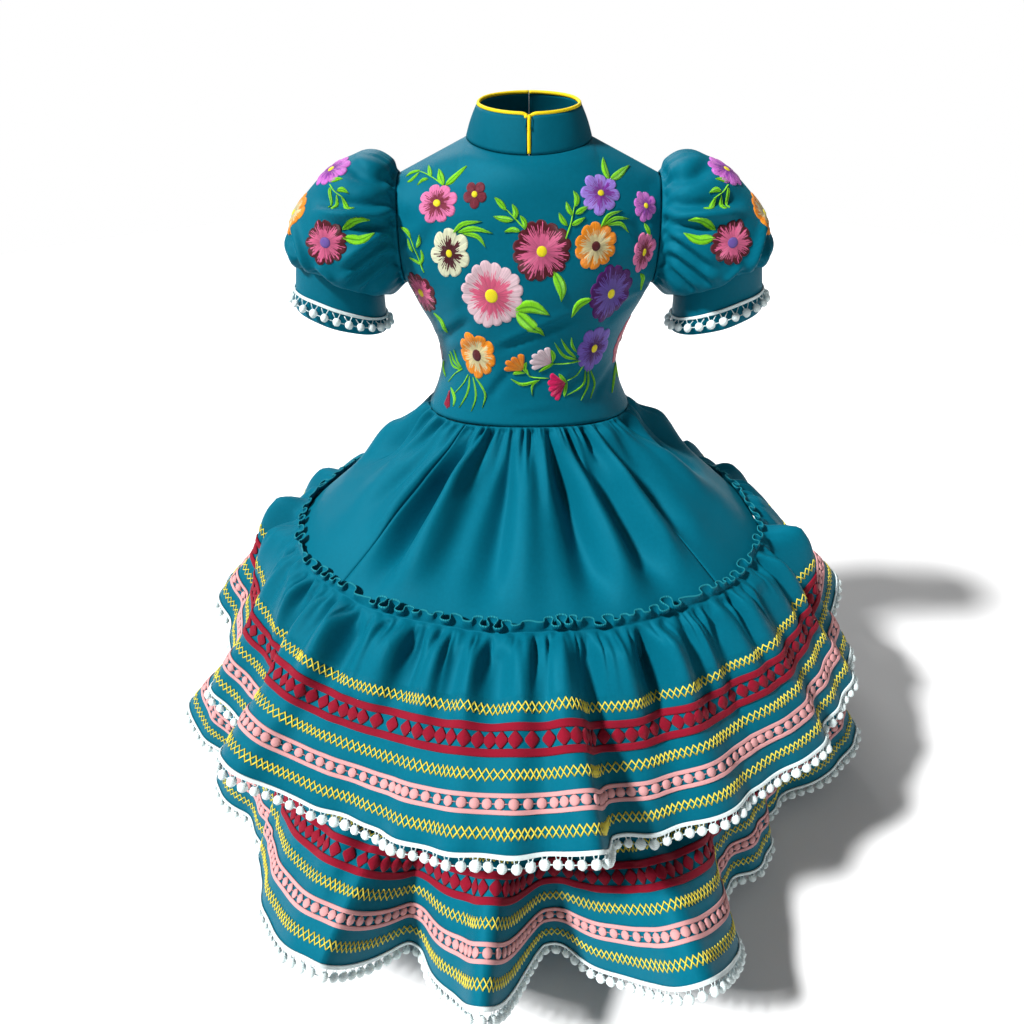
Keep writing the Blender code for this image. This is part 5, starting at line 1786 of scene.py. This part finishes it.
@dataclass
class Embroidery:
    """Satin-stitched flowers, leaves and stems laid on one face of a piece of cloth.

    The rings of a flower and of its eye are shares of their radius.
    """

    surface: Surface
    petal_rings: tuple[float, ...] = (0.10, 0.20, 0.31, 0.42, 0.52, 0.62, 0.72, 0.81, 0.89, 0.96, 1.0)
    eye_rings: tuple[float, ...] = (0.35, 0.70, 0.92, 1.0)
    eye_sides: int = 14

    def spots(self, places: Sequence[Sequence[float]]) -> Array:
        """Rows and columns of places given as (x, z), seen from the front, or as (x, y, z)."""
        points = np.array([p if len(p) == 3 else (p[0], 0.0, p[1]) for p in places], float) * CM
        return self.surface.find(points, (1, 1, 1) if len(places[0]) == 3 else (1, 0, 1))

    def flower(self, pile: Pile, flower: Flower, slot: int, eye_slot: int) -> None:
        """Adds a flower as a domed disc on polar rings.

        The radius is cut in at the notches by the root of a sine of the turn times the lobes. Petals
        are highest near the middle, sink between lobes, and their rim goes into the cloth.
        """
        row, column = self.spots([flower.at])[0]
        here = self.surface.at(row, column)
        down = self.surface.at(row + 0.5, column) - self.surface.at(row - 0.5, column)
        over = self.surface.at(row, column + 0.5) - self.surface.at(row, column - 0.5)
        normal = unit(np.cross(down, over))
        right = unit(np.cross((0.0, 0.0, 1.0), normal))
        up = np.cross(normal, right)
        whole = flower.sweep >= 360
        per_lobe = 7 if flower.lobes <= 11 else 5
        count = flower.lobes * per_lobe + (0 if whole else 1)
        lobe = np.arange(count) / per_lobe
        first = math.radians(flower.turn if whole else flower.turn - flower.sweep / 2)
        turn = first + np.radians(flower.sweep) * lobe / flower.lobes
        dice = np.random.default_rng(flower.lobes * 7 + int(abs(flower.at[0]) * 10))
        length = 1 + 0.06 * dice.standard_normal(flower.lobes + 1)[np.minimum(lobe.astype(int), flower.lobes)]
        length = length if not whole else 1 + 0.05 * sway(2 * math.pi * lobe / flower.lobes, 3, (2, 3, 5))
        notch = np.abs(np.sin(np.pi * lobe)) ** 0.55
        radius = (1 - flower.depth * (1 - notch)) * length
        shares = np.array(self.petal_rings)[:, None]
        right_m, up_m = flower.size[0] * CM, flower.size[1] * CM
        flat = (shares * radius * np.cos(turn) * right_m, shares * radius * np.sin(turn) * up_m)
        height = 0.0013 - 0.0004 * shares - 0.00045 * (1 - notch) * ease(shares, 0.15, 0.7)
        height = np.where(shares > 0.99, -0.0003, np.where(shares > 0.95, 0.0006, height))
        if not whole:
            height[:, [0, -1]] = -0.0003
        stretch = min(1 / max(float(up[2]), 0.5), 1.35) if len(flower.at) == 2 else 1.0
        target = here + flat[0].reshape(-1, 1) * right + flat[1].reshape(-1, 1) * up * stretch
        points = self.surface.at(*self.surface.find(target).T, height.ravel())
        middle = self.surface.at(row, column, 0.0010 if whole else -0.0003)
        rings = points.reshape(len(shares), count, 3)
        below = rings[-1].mean(0) - normal * 0.0006
        tips = np.zeros((2 * count, 4, 2))
        tips[:count, :, 0] = (np.arange(count) / per_lobe)[:, None]
        places = grid(np.arange(count + 1) / per_lobe, shares)
        add_rounds(pile, rings[None], np.array([[middle, below]]), places, slot, tips=tips)
        if flower.eye is not None:
            self.eye(pile, (row, column), (right, up), flower, eye_slot)

    def eye(self, pile: Pile, at: Place, axes: tuple[Array, Array], flower: Flower, slot: int) -> None:
        """Adds the domed centre of a flower: a few rings under a round top."""
        turn = np.arange(self.eye_sides) * 2 * math.pi / self.eye_sides
        shares = np.array(self.eye_rings)[:, None]
        size = flower.eye_size * CM
        flat = (shares * np.cos(turn) * flower.size[0] * size, shares * np.sin(turn) * flower.size[1] * size)
        target = self.surface.at(*at) + flat[0].reshape(-1, 1) * axes[0] + flat[1].reshape(-1, 1) * axes[1]
        height = 0.0009 + 0.0011 * np.sqrt(1 - shares**2 * 0.98) + 0 * turn
        height[-1] = 0.0004
        points = self.surface.at(*self.surface.find(target).T, height.ravel())
        poles = np.array([[self.surface.at(*at, 0.0020), self.surface.at(*at, 0.0002)]])
        places = grid(np.arange(len(turn) + 1) * 0.0007, np.arange(len(shares))[:, None] * 0.0009)
        add_rounds(pile, points.reshape(1, len(shares), len(turn), 3), poles, places, slot)

    def leaf(self, pile: Pile, leaf: Leaf, slot: int) -> None:
        """Adds a leaf: five points across at each step of its smooth path, closed below.

        A leaf's width swells and ends in points; a stem's stays and then thins. The two halves rise
        on both sides of a sunk middle.
        """
        spots = smooth_path(self.spots(leaf.path), 4)
        row, column = spots[:, 0], spots[:, 1]
        middle = self.surface.at(row, column)
        normal = unit(self.surface.at(row, column, 0.003) - middle)
        along = unit(np.gradient(middle, axis=0))
        side = unit(np.cross(along, normal))
        t = np.linspace(0, 1, len(spots))
        if leaf.stem:
            half = leaf.width / 2 * (0.85 + 0.15 * np.sin(t * 9)) * (1 - 0.65 * ease(t, 0.6, 1.0))
        else:
            half = leaf.width / 2 * np.maximum(np.sin(math.pi * t**0.85) ** 0.8, 0.04)
        rise = 0.0011 if not leaf.stem else 0.0009
        across = np.array([-1, -0.55, 0, 0.55, 1])
        raised = np.array([-0.0002, rise, rise * (0.45 if not leaf.stem else 1.15), rise, -0.0002])
        points = (middle[:, None] + side[:, None] * (half[:, None] * across * CM)[..., None]
                  + normal[:, None] * raised[:, None])
        faces, corners = lattice(len(spots), 5, ring=True)
        faces, corners = faces[:, ::-1], corners[:, ::-1]
        reach = lengths(middle) / CM
        uv = np.stack([corners[..., 1] / 4, reach[corners[..., 0]]], -1)
        end = (len(spots) - 1) * 5
        caps = np.array([[0, 4, 3, 1], [1, 3, 2, -1], [end, end + 1, end + 3, end + 4],
                         [end + 1, end + 2, end + 3, -1]])
        if leaf.stem:
            uv = uv * (leaf.width * CM, CM)
        pile.add(points, np.concatenate([faces, caps]), np.concatenate([uv, np.zeros((4, 4, 2))]), slot)

    def build(self, name: str, flowers: Sequence[Flower], leaves: Sequence[Leaf]) -> None:
        """Makes one piece of all flowers and leaves of a face, with a finish for each thread used."""
        finishes: list[Finish] = [STEM, GREEN]
        pile = Pile()
        for one in leaves:
            self.leaf(pile, one, 0 if one.stem else 1)
        for flower in flowers:
            for choice in (flower.bloom, flower.eye):
                if choice is not None and choice.value not in finishes:
                    finishes.append(choice.value)
            eye_slot = finishes.index(flower.eye.value) if flower.eye else 0
            self.flower(pile, flower, finishes.index(flower.bloom.value), eye_slot)
        pile.piece(name, finishes, None, None)


BODICE_FLOWERS = (
    Flower((-8.23, -3.17), (1.93, 1.66), 8, Bloom.ROSE, depth=0.22),
    Flower((-4.77, -2.23), (1.12, 1.10), 5, Bloom.WINE, depth=0.30, turn=20, eye_size=0.26),
    Flower((-7.27, -7.25), (1.98, 2.35), 7, Bloom.PANSY, depth=0.22, turn=10, eye_size=0.16),
    Flower((-3.48, -10.91), (2.98, 3.30), 16, Bloom.BLUSH, depth=0.10, eye_size=0.22),
    Flower((1.15, -6.80), (2.68, 2.75), 14, Bloom.MAROON, depth=0.11, eye_size=0.19),
    Flower((6.04, -6.53), (2.00, 2.14), 10, Bloom.ORANGE, Eye.DARK, depth=0.14, eye_size=0.22),
    Flower((6.34, -2.24), (1.95, 1.66), 8, Bloom.LILAC, depth=0.24, turn=12, eye_size=0.17),
    Flower((7.75, -11.15), (2.30, 2.95), 12, Bloom.PURPLE, depth=0.12, eye_size=0.18),
    Flower((-10.45, -11.75), (1.95, 2.25), 12, Bloom.MAROON, depth=0.13),
    Flower((-5.15, -17.41), (2.05, 2.60), 9, Bloom.ORANGE, Eye.DARK, depth=0.15, turn=10, eye_size=0.26),
    Flower((6.45, -16.90), (2.00, 2.55), 8, Bloom.VIOLET, depth=0.18, turn=16, eye_size=0.19),
    Flower((9.47, -17.45), (1.45, 2.75), 10, Bloom.CORAL, Eye.DARK, depth=0.18, eye_size=0.14),
    Flower((10.60, -3.60), (1.25, 1.30), 8, Bloom.MAUVE, depth=0.22),
    Flower((10.70, -7.60), (1.30, 1.90), 8, Bloom.ROSE, depth=0.2),
    Flower((-8.30, -22.20), (1.0, 2.1), 4, Bloom.SCARLET, None, turn=-92, sweep=64, depth=0.10),
    Flower((-0.55, -18.55), (1.95, 1.75), 4, Bloom.TANGERINE, None, turn=140, sweep=112, depth=0.22),
    Flower((2.20, -17.85), (2.05, 1.75), 5, Bloom.PALE, None, turn=152, sweep=118, depth=0.18),
    Flower((3.65, -20.15), (1.95, 2.10), 5, Bloom.MAGENTA, None, turn=198, sweep=112, depth=0.16),
    Flower((-9.15, -19.90), (0.80, 1.75), 4, Bloom.PALE, None, turn=80, sweep=70, depth=0.15),
)
BODICE_LEAVES = (
    leaf(0.8, (-7.6, -1.8), (-7.95, -1.25), (-8.1, -0.72)),
    leaf(0.78, (-7.48, -1.8), (-6.65, -1.15), (-5.5, -0.25)),
    stem(0.16, (-7.7, -1.8), (-8.66, -1.38), (-10.01, -1.1)),
    leaf(0.5, (-8.83, -1.34), (-9.02, -0.97), (-9.12, -0.62)),
    leaf(0.44, (-9.95, -1.05), (-10.7, -1.25), (-11.3, -1.62)),
    leaf(0.4, (-10.02, -1.2), (-10.68, -1.7), (-11.15, -1.98)),
    leaf(0.42, (-9.11, -1.5), (-9.6, -1.6), (-10.12, -2.02)),
    leaf(0.46, (-6.9, -5.5), (-5.92, -4.66), (-4.19, -4.36)),
    leaf(0.52, (-6.45, -5.42), (-5.03, -5), (-3.25, -5.3)),
    leaf(0.46, (-6, -5.45), (-4.62, -5.66), (-3.9, -6.55)),
    stem(0.17, (-0.35, -4.95), (-1.35, -3.95), (-2.15, -3.2)),
    leaf(0.6, (-2.02, -3.4), (-2.5, -2.86), (-3.04, -2.38)),
    leaf(0.58, (-1.3, -4.15), (-1.18, -3.5), (-1.5, -2.88)),
    leaf(0.6, (-1.37, -4.18), (-2.25, -4.12), (-3.18, -3.92)),
    leaf(0.56, (-0.32, -4.9), (-0.42, -4.33), (-0.82, -3.8)),
    leaf(0.5, (-0.75, -5.12), (-1.45, -4.98), (-2.22, -5.18)),
    stem(0.17, (3.28, -5.75), (3.75, -4.4), (4.06, -2.95)),
    leaf(0.58, (4.1, -3.2), (4.24, -2.52), (3.9, -1.92)),
    leaf(0.52, (3.85, -3.88), (3.5, -3.32), (3.28, -2.74)),
    leaf(0.54, (4.12, -3.76), (4.62, -3.5), (5.26, -3.16)),
    leaf(0.54, (3.42, -4.68), (2.98, -4.22), (2.64, -3.6)),
    leaf(0.5, (3.8, -4.66), (4.34, -4.42), (5.02, -4.06)),
    leaf(1.1, (2.25, -8.6), (2.95, -10), (3.02, -11.45)),
    leaf(1.35, (-1.3, -12.2), (0.2, -11.85), (1.95, -12.72)),
    leaf(1.4, (-1.25, -12.35), (-0.1, -13.55), (1.48, -14.9)),
    leaf(0.4, (6.44, -5), (7.1, -4.05), (8.35, -3.74)),
    leaf(0.4, (6.58, -4.85), (7.71, -4.3), (9.05, -4.45)),
    leaf(0.42, (6.95, -4.8), (8.27, -4.78), (9.05, -5.6)),
    leaf(0.72, (7.1, -1.32), (6.78, -0.6), (6.62, 0.18)),
    leaf(0.76, (7.25, -1.36), (8.05, -1.05), (9.14, -0.62)),
    leaf(0.9, (5.95, -11.42), (4.75, -11.85), (4.02, -13.15)),
    stem(0.16, (-9.9, -9.4), (-10.29, -8.19), (-10.81, -6.72), (-11.02, -6.1)),
    leaf(0.52, (-10.92, -6.34), (-11.25, -5.8), (-11.9, -5.5)),
    leaf(0.42, (-10.46, -7.15), (-10.16, -6.56), (-10.08, -5.92)),
    leaf(0.36, (-10.8, -7.6), (-11.1, -7.02), (-11.25, -6.44)),
    leaf(0.42, (-10.17, -8.66), (-9.92, -7.98), (-10.02, -7.28)),
    leaf(0.34, (-10, -8.72), (-10.65, -8.46), (-11.25, -8.2)),
    leaf(0.7, (-8.12, -15.7), (-8.55, -14.55), (-9.35, -13.66)),
    leaf(0.26, (-6.8, -19.4), (-7.37, -18.61), (-7.62, -17.55)),
    leaf(0.26, (-6.9, -19.5), (-7.7, -18.95), (-8.05, -17.98)),
    leaf(0.28, (-6.9, -19.62), (-7.88, -19.5), (-8.22, -18.42)),
    stem(0.15, (-6.8, -19.45), (-7.64, -20.28), (-8.45, -21.51)),
    stem(0.15, (-6.2, -19.9), (-6.86, -21.13), (-7.75, -22.3)),
    leaf(0.26, (-6.05, -20), (-6.33, -21.76), (-7.29, -23.57)),
    leaf(0.26, (-5.69, -20), (-5.45, -21.87), (-5.99, -23.6)),
    leaf(0.28, (-5.45, -19.95), (-4.5, -21.38), (-4.81, -23.05)),
    leaf(0.5, (-8.15, -21.9), (-7.8, -22.75), (-7.95, -23.7)),
    leaf(0.4, (-8.75, -21.2), (-9.05, -20.5), (-8.9, -19.7)),
    leaf(0.36, (4.85, -17.85), (3.4, -17.2), (2.45, -15.65)),
    leaf(0.36, (4.75, -17.7), (3.8, -16.62), (3.08, -15.28)),
    leaf(0.32, (4.7, -17), (4.25, -16.2), (4.12, -15.25)),
    stem(0.17, (5.15, -17.98), (3.74, -18.12), (2.3, -18)),
    stem(0.17, (-0.2, -18.6), (0.15, -19.33), (1.95, -19.55)),
    leaf(0.4, (1.05, -19.72), (-0.64, -20.2), (-1.8, -19.66)),
    leaf(0.26, (1.1, -19.66), (0.35, -20.3), (0.32, -21.42)),
    leaf(0.5, (-1.6, -19.12), (-1.07, -18.9), (-0.4, -18.95)),
    leaf(0.5, (-0.25, -17.7), (-0.45, -18.44), (0.05, -19.2)),
    leaf(0.5, (2.12, -16.42), (2.42, -17.2), (2.28, -17.95)),
    leaf(0.52, (2.45, -17.95), (1.75, -18.32), (0.98, -18.82)),
    stem(0.17, (5.45, -18.6), (4.84, -19.6), (3.75, -20.05)),
    leaf(0.46, (2.98, -19.15), (3.42, -19.75), (3.85, -20.35)),
    leaf(0.46, (3.85, -20.2), (3.68, -21.05), (3.58, -21.75)),
    leaf(0.26, (5.75, -19.15), (5.55, -20.76), (3.83, -21.6)),
    leaf(0.26, (6, -19.2), (6.05, -20.88), (5.31, -22.4)),
    leaf(0.26, (6.21, -19.2), (6.75, -20.92), (6.36, -22.45)),
    leaf(0.6, (9.18, -20.3), (9.02, -21.4), (8.74, -22.75)),
    leaf(0.5, (9.22, -20.3), (9.34, -21.1), (9.56, -21.95)),
    leaf(0.45, (10.55, -5), (10.95, -5.6), (11.2, -6.3)),
    leaf(0.55, (10.55, -9.6), (10.95, -10.4), (10.85, -11.6)),
)
# Places on the sleeve that is on the wearer's right, as x, y and z. The other sleeve mirrors them.
SLEEVE_FLOWERS = (
    Flower((-18.53, -6.0, -6.40), (2.08, 2.06), 11, Bloom.MAROON, Eye.BLUE, depth=0.16, eye_size=0.25),
    Flower((-22.3, -2.1, -4.60), (2.15, 2.25), 9, Bloom.ORANGE, depth=0.15, eye_size=0.16),
    Flower((-18.2, -1.9, -0.80), (2.10, 2.05), 9, Bloom.MAUVE, depth=0.18, eye_size=0.18),
)
SLEEVE_LEAVES = (
    leaf(1.05, (-16.9, -5.9, -5.3), (-15.75, -5.9, -4.5), (-14.36, -5.7, -4.36)),
    leaf(1, (-16.9, -5.9, -6.05), (-15.4, -5.9, -6.35), (-14.06, -5.7, -5.78)),
    stem(0.15, (-18.25, -4, -1.6), (-17.66, -4.7, -2.25), (-16.76, -5.2, -2.85)),
    leaf(0.52, (-17.99, -3.6, -1.6), (-17.43, -3.6, -1.45), (-16.75, -3.7, -1.48)),
    leaf(0.46, (-18.17, -4.2, -1.9), (-18.42, -4.8, -2.45), (-18.12, -5.1, -3.05)),
    leaf(0.52, (-17.46, -4.7, -2.15), (-16.88, -4.7, -2.02), (-16.24, -4.9, -2.34)),
    leaf(0.48, (-17.54, -4.9, -2.5), (-17.62, -5.2, -3), (-17.42, -5.4, -3.6)),
    leaf(0.58, (-17.03, -5.1, -2.6), (-16.4, -5.3, -3.1), (-15.68, -5.4, -3.28)),
)


# The scene.


@dataclass
class Studio:
    """The pale floor, the soft lights and the camera that looks at the dress as the photograph does."""

    floor_z: float = -0.742
    camera_at: tuple[float, float, float] = (0.0, -0.7873, 0.1362)
    tilt: float = 55.58
    lens: float = 27.47
    shift: float = -0.0166

    def floor(self) -> None:
        """A round pale floor, flat, 6 metres wide."""
        turns = np.arange(96) * 2 * math.pi / 96
        reach = np.array([0.5, 1.0, 2.0, 3.0])[:, None]
        rings = np.stack([reach * np.cos(turns), reach * np.sin(turns), self.floor_z + 0 * reach * turns], -1)
        faces, k = lattice(4, 96, ring=True)[0], np.arange(96)
        cap = np.stack([k, (k + 1) % 96, np.full(96, 384), np.full(96, -1)], 1)
        mesh = bpy.data.meshes.new("pale_floor")
        points = np.concatenate([rings.reshape(-1, 3), [[0, 0, self.floor_z]]])
        mesh.from_pydata(points.tolist(), [], faces.tolist() + cap[:, :3].tolist())
        mesh.materials.append(PaleFloor("pale_floor").material())
        thing = bpy.data.objects.new("pale_floor", mesh)
        bpy.context.scene.collection.objects.link(thing)

    def light(self, name: str, at: tuple[float, float, float], size: float, power: float,
              aim: tuple[float, float, float] = (0.0, 0.0, -0.35)) -> None:
        """A square soft light at a place, turned towards a point."""
        lamp = bpy.data.lights.new(name, "AREA")
        lamp.size, lamp.energy = size, power
        thing = bpy.data.objects.new(name, lamp)
        thing.location = at
        from_lamp = np.array(aim) - np.array(at)
        flat = math.hypot(from_lamp[0], from_lamp[1])
        thing.rotation_euler = (math.atan2(flat, -from_lamp[2]), 0, math.atan2(-from_lamp[0], from_lamp[1]))
        bpy.context.scene.collection.objects.link(thing)

    def build(self) -> None:
        """Makes the floor, a pale world, a sun, two soft lights and the camera."""
        self.floor()
        world = bpy.data.worlds.new("pale_studio")
        world.use_nodes = True
        tree = world.node_tree
        tree.nodes["Background"].inputs[0].default_value = (1, 1, 1, 1)
        seen = tree.nodes.new("ShaderNodeLightPath")
        power = tree.nodes.new("ShaderNodeMapRange")
        power.inputs[3].default_value, power.inputs[4].default_value = 0.15, 1.0
        tree.links.new(seen.outputs["Is Camera Ray"], power.inputs[0])
        tree.links.new(power.outputs[0], tree.nodes["Background"].inputs[1])
        bpy.context.scene.world = world
        bpy.context.scene.view_settings.view_transform = "Standard"
        sun = bpy.data.lights.new("key_light", "SUN")
        sun.energy, sun.angle = 5.6, math.radians(7)
        key = bpy.data.objects.new("key_light", sun)
        key.rotation_euler = (math.radians(43), 0, math.radians(-66))
        bpy.context.scene.collection.objects.link(key)
        self.light("fill_light", (1.8, -1.2, 0.9), 1.4, 4)
        self.light("back_light", (-0.8, 2.2, 1.3), 1.6, 26)
        camera = bpy.data.cameras.new("camera")
        camera.lens, camera.sensor_width, camera.shift_x = self.lens, 36.0, self.shift
        thing = bpy.data.objects.new("camera", camera)
        thing.location = self.camera_at
        thing.rotation_euler = (math.radians(self.tilt), 0, 0)
        bpy.context.scene.collection.objects.link(thing)
        bpy.context.scene.camera = thing


def main() -> None:
    """Builds the dress piece by piece, then the studio."""
    logging.basicConfig(level=logging.INFO, format="%(message)s")
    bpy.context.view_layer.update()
    Studio().build()
    bodice = Bodice()
    front = bodice.build()
    Collar(bodice).build()
    sleeve_faces = Sleeve().build()
    skirt = Skirt()
    skirt.build()
    upper = Tier("tier_1", skirt, TIER_1_FOLDS, 20.9, 19.5, 0.24, True, 100, (1.50, 1.30))
    lower = Tier("tier_2", skirt, TIER_2_FOLDS, 34.3, 20.9, 0.0, False, 200, (1.70, 1.50))
    for tier in (upper, lower):
        tier.build()
        TierTrims(tier).build()
    for name in ("left", "right"):
        CuffFringe().build(name, sleeve_faces[f"cuff_{name}"])
    Embroidery(front).build("bodice_embroidery", BODICE_FLOWERS, BODICE_LEAVES)
    right, left = (Embroidery(sleeve_faces[f"sleeve_{name}"]) for name in ("right", "left"))
    right.build("sleeve_right_embroidery", SLEEVE_FLOWERS, SLEEVE_LEAVES)
    left.build("sleeve_left_embroidery",
               [f._replace(at=(-f.at[0], *f.at[1:]), turn=180 - f.turn) for f in SLEEVE_FLOWERS],
               [one._replace(path=tuple((-x, y, z) for x, y, z in one.path)) for one in SLEEVE_LEAVES])


if __name__ == "__main__":
    main()
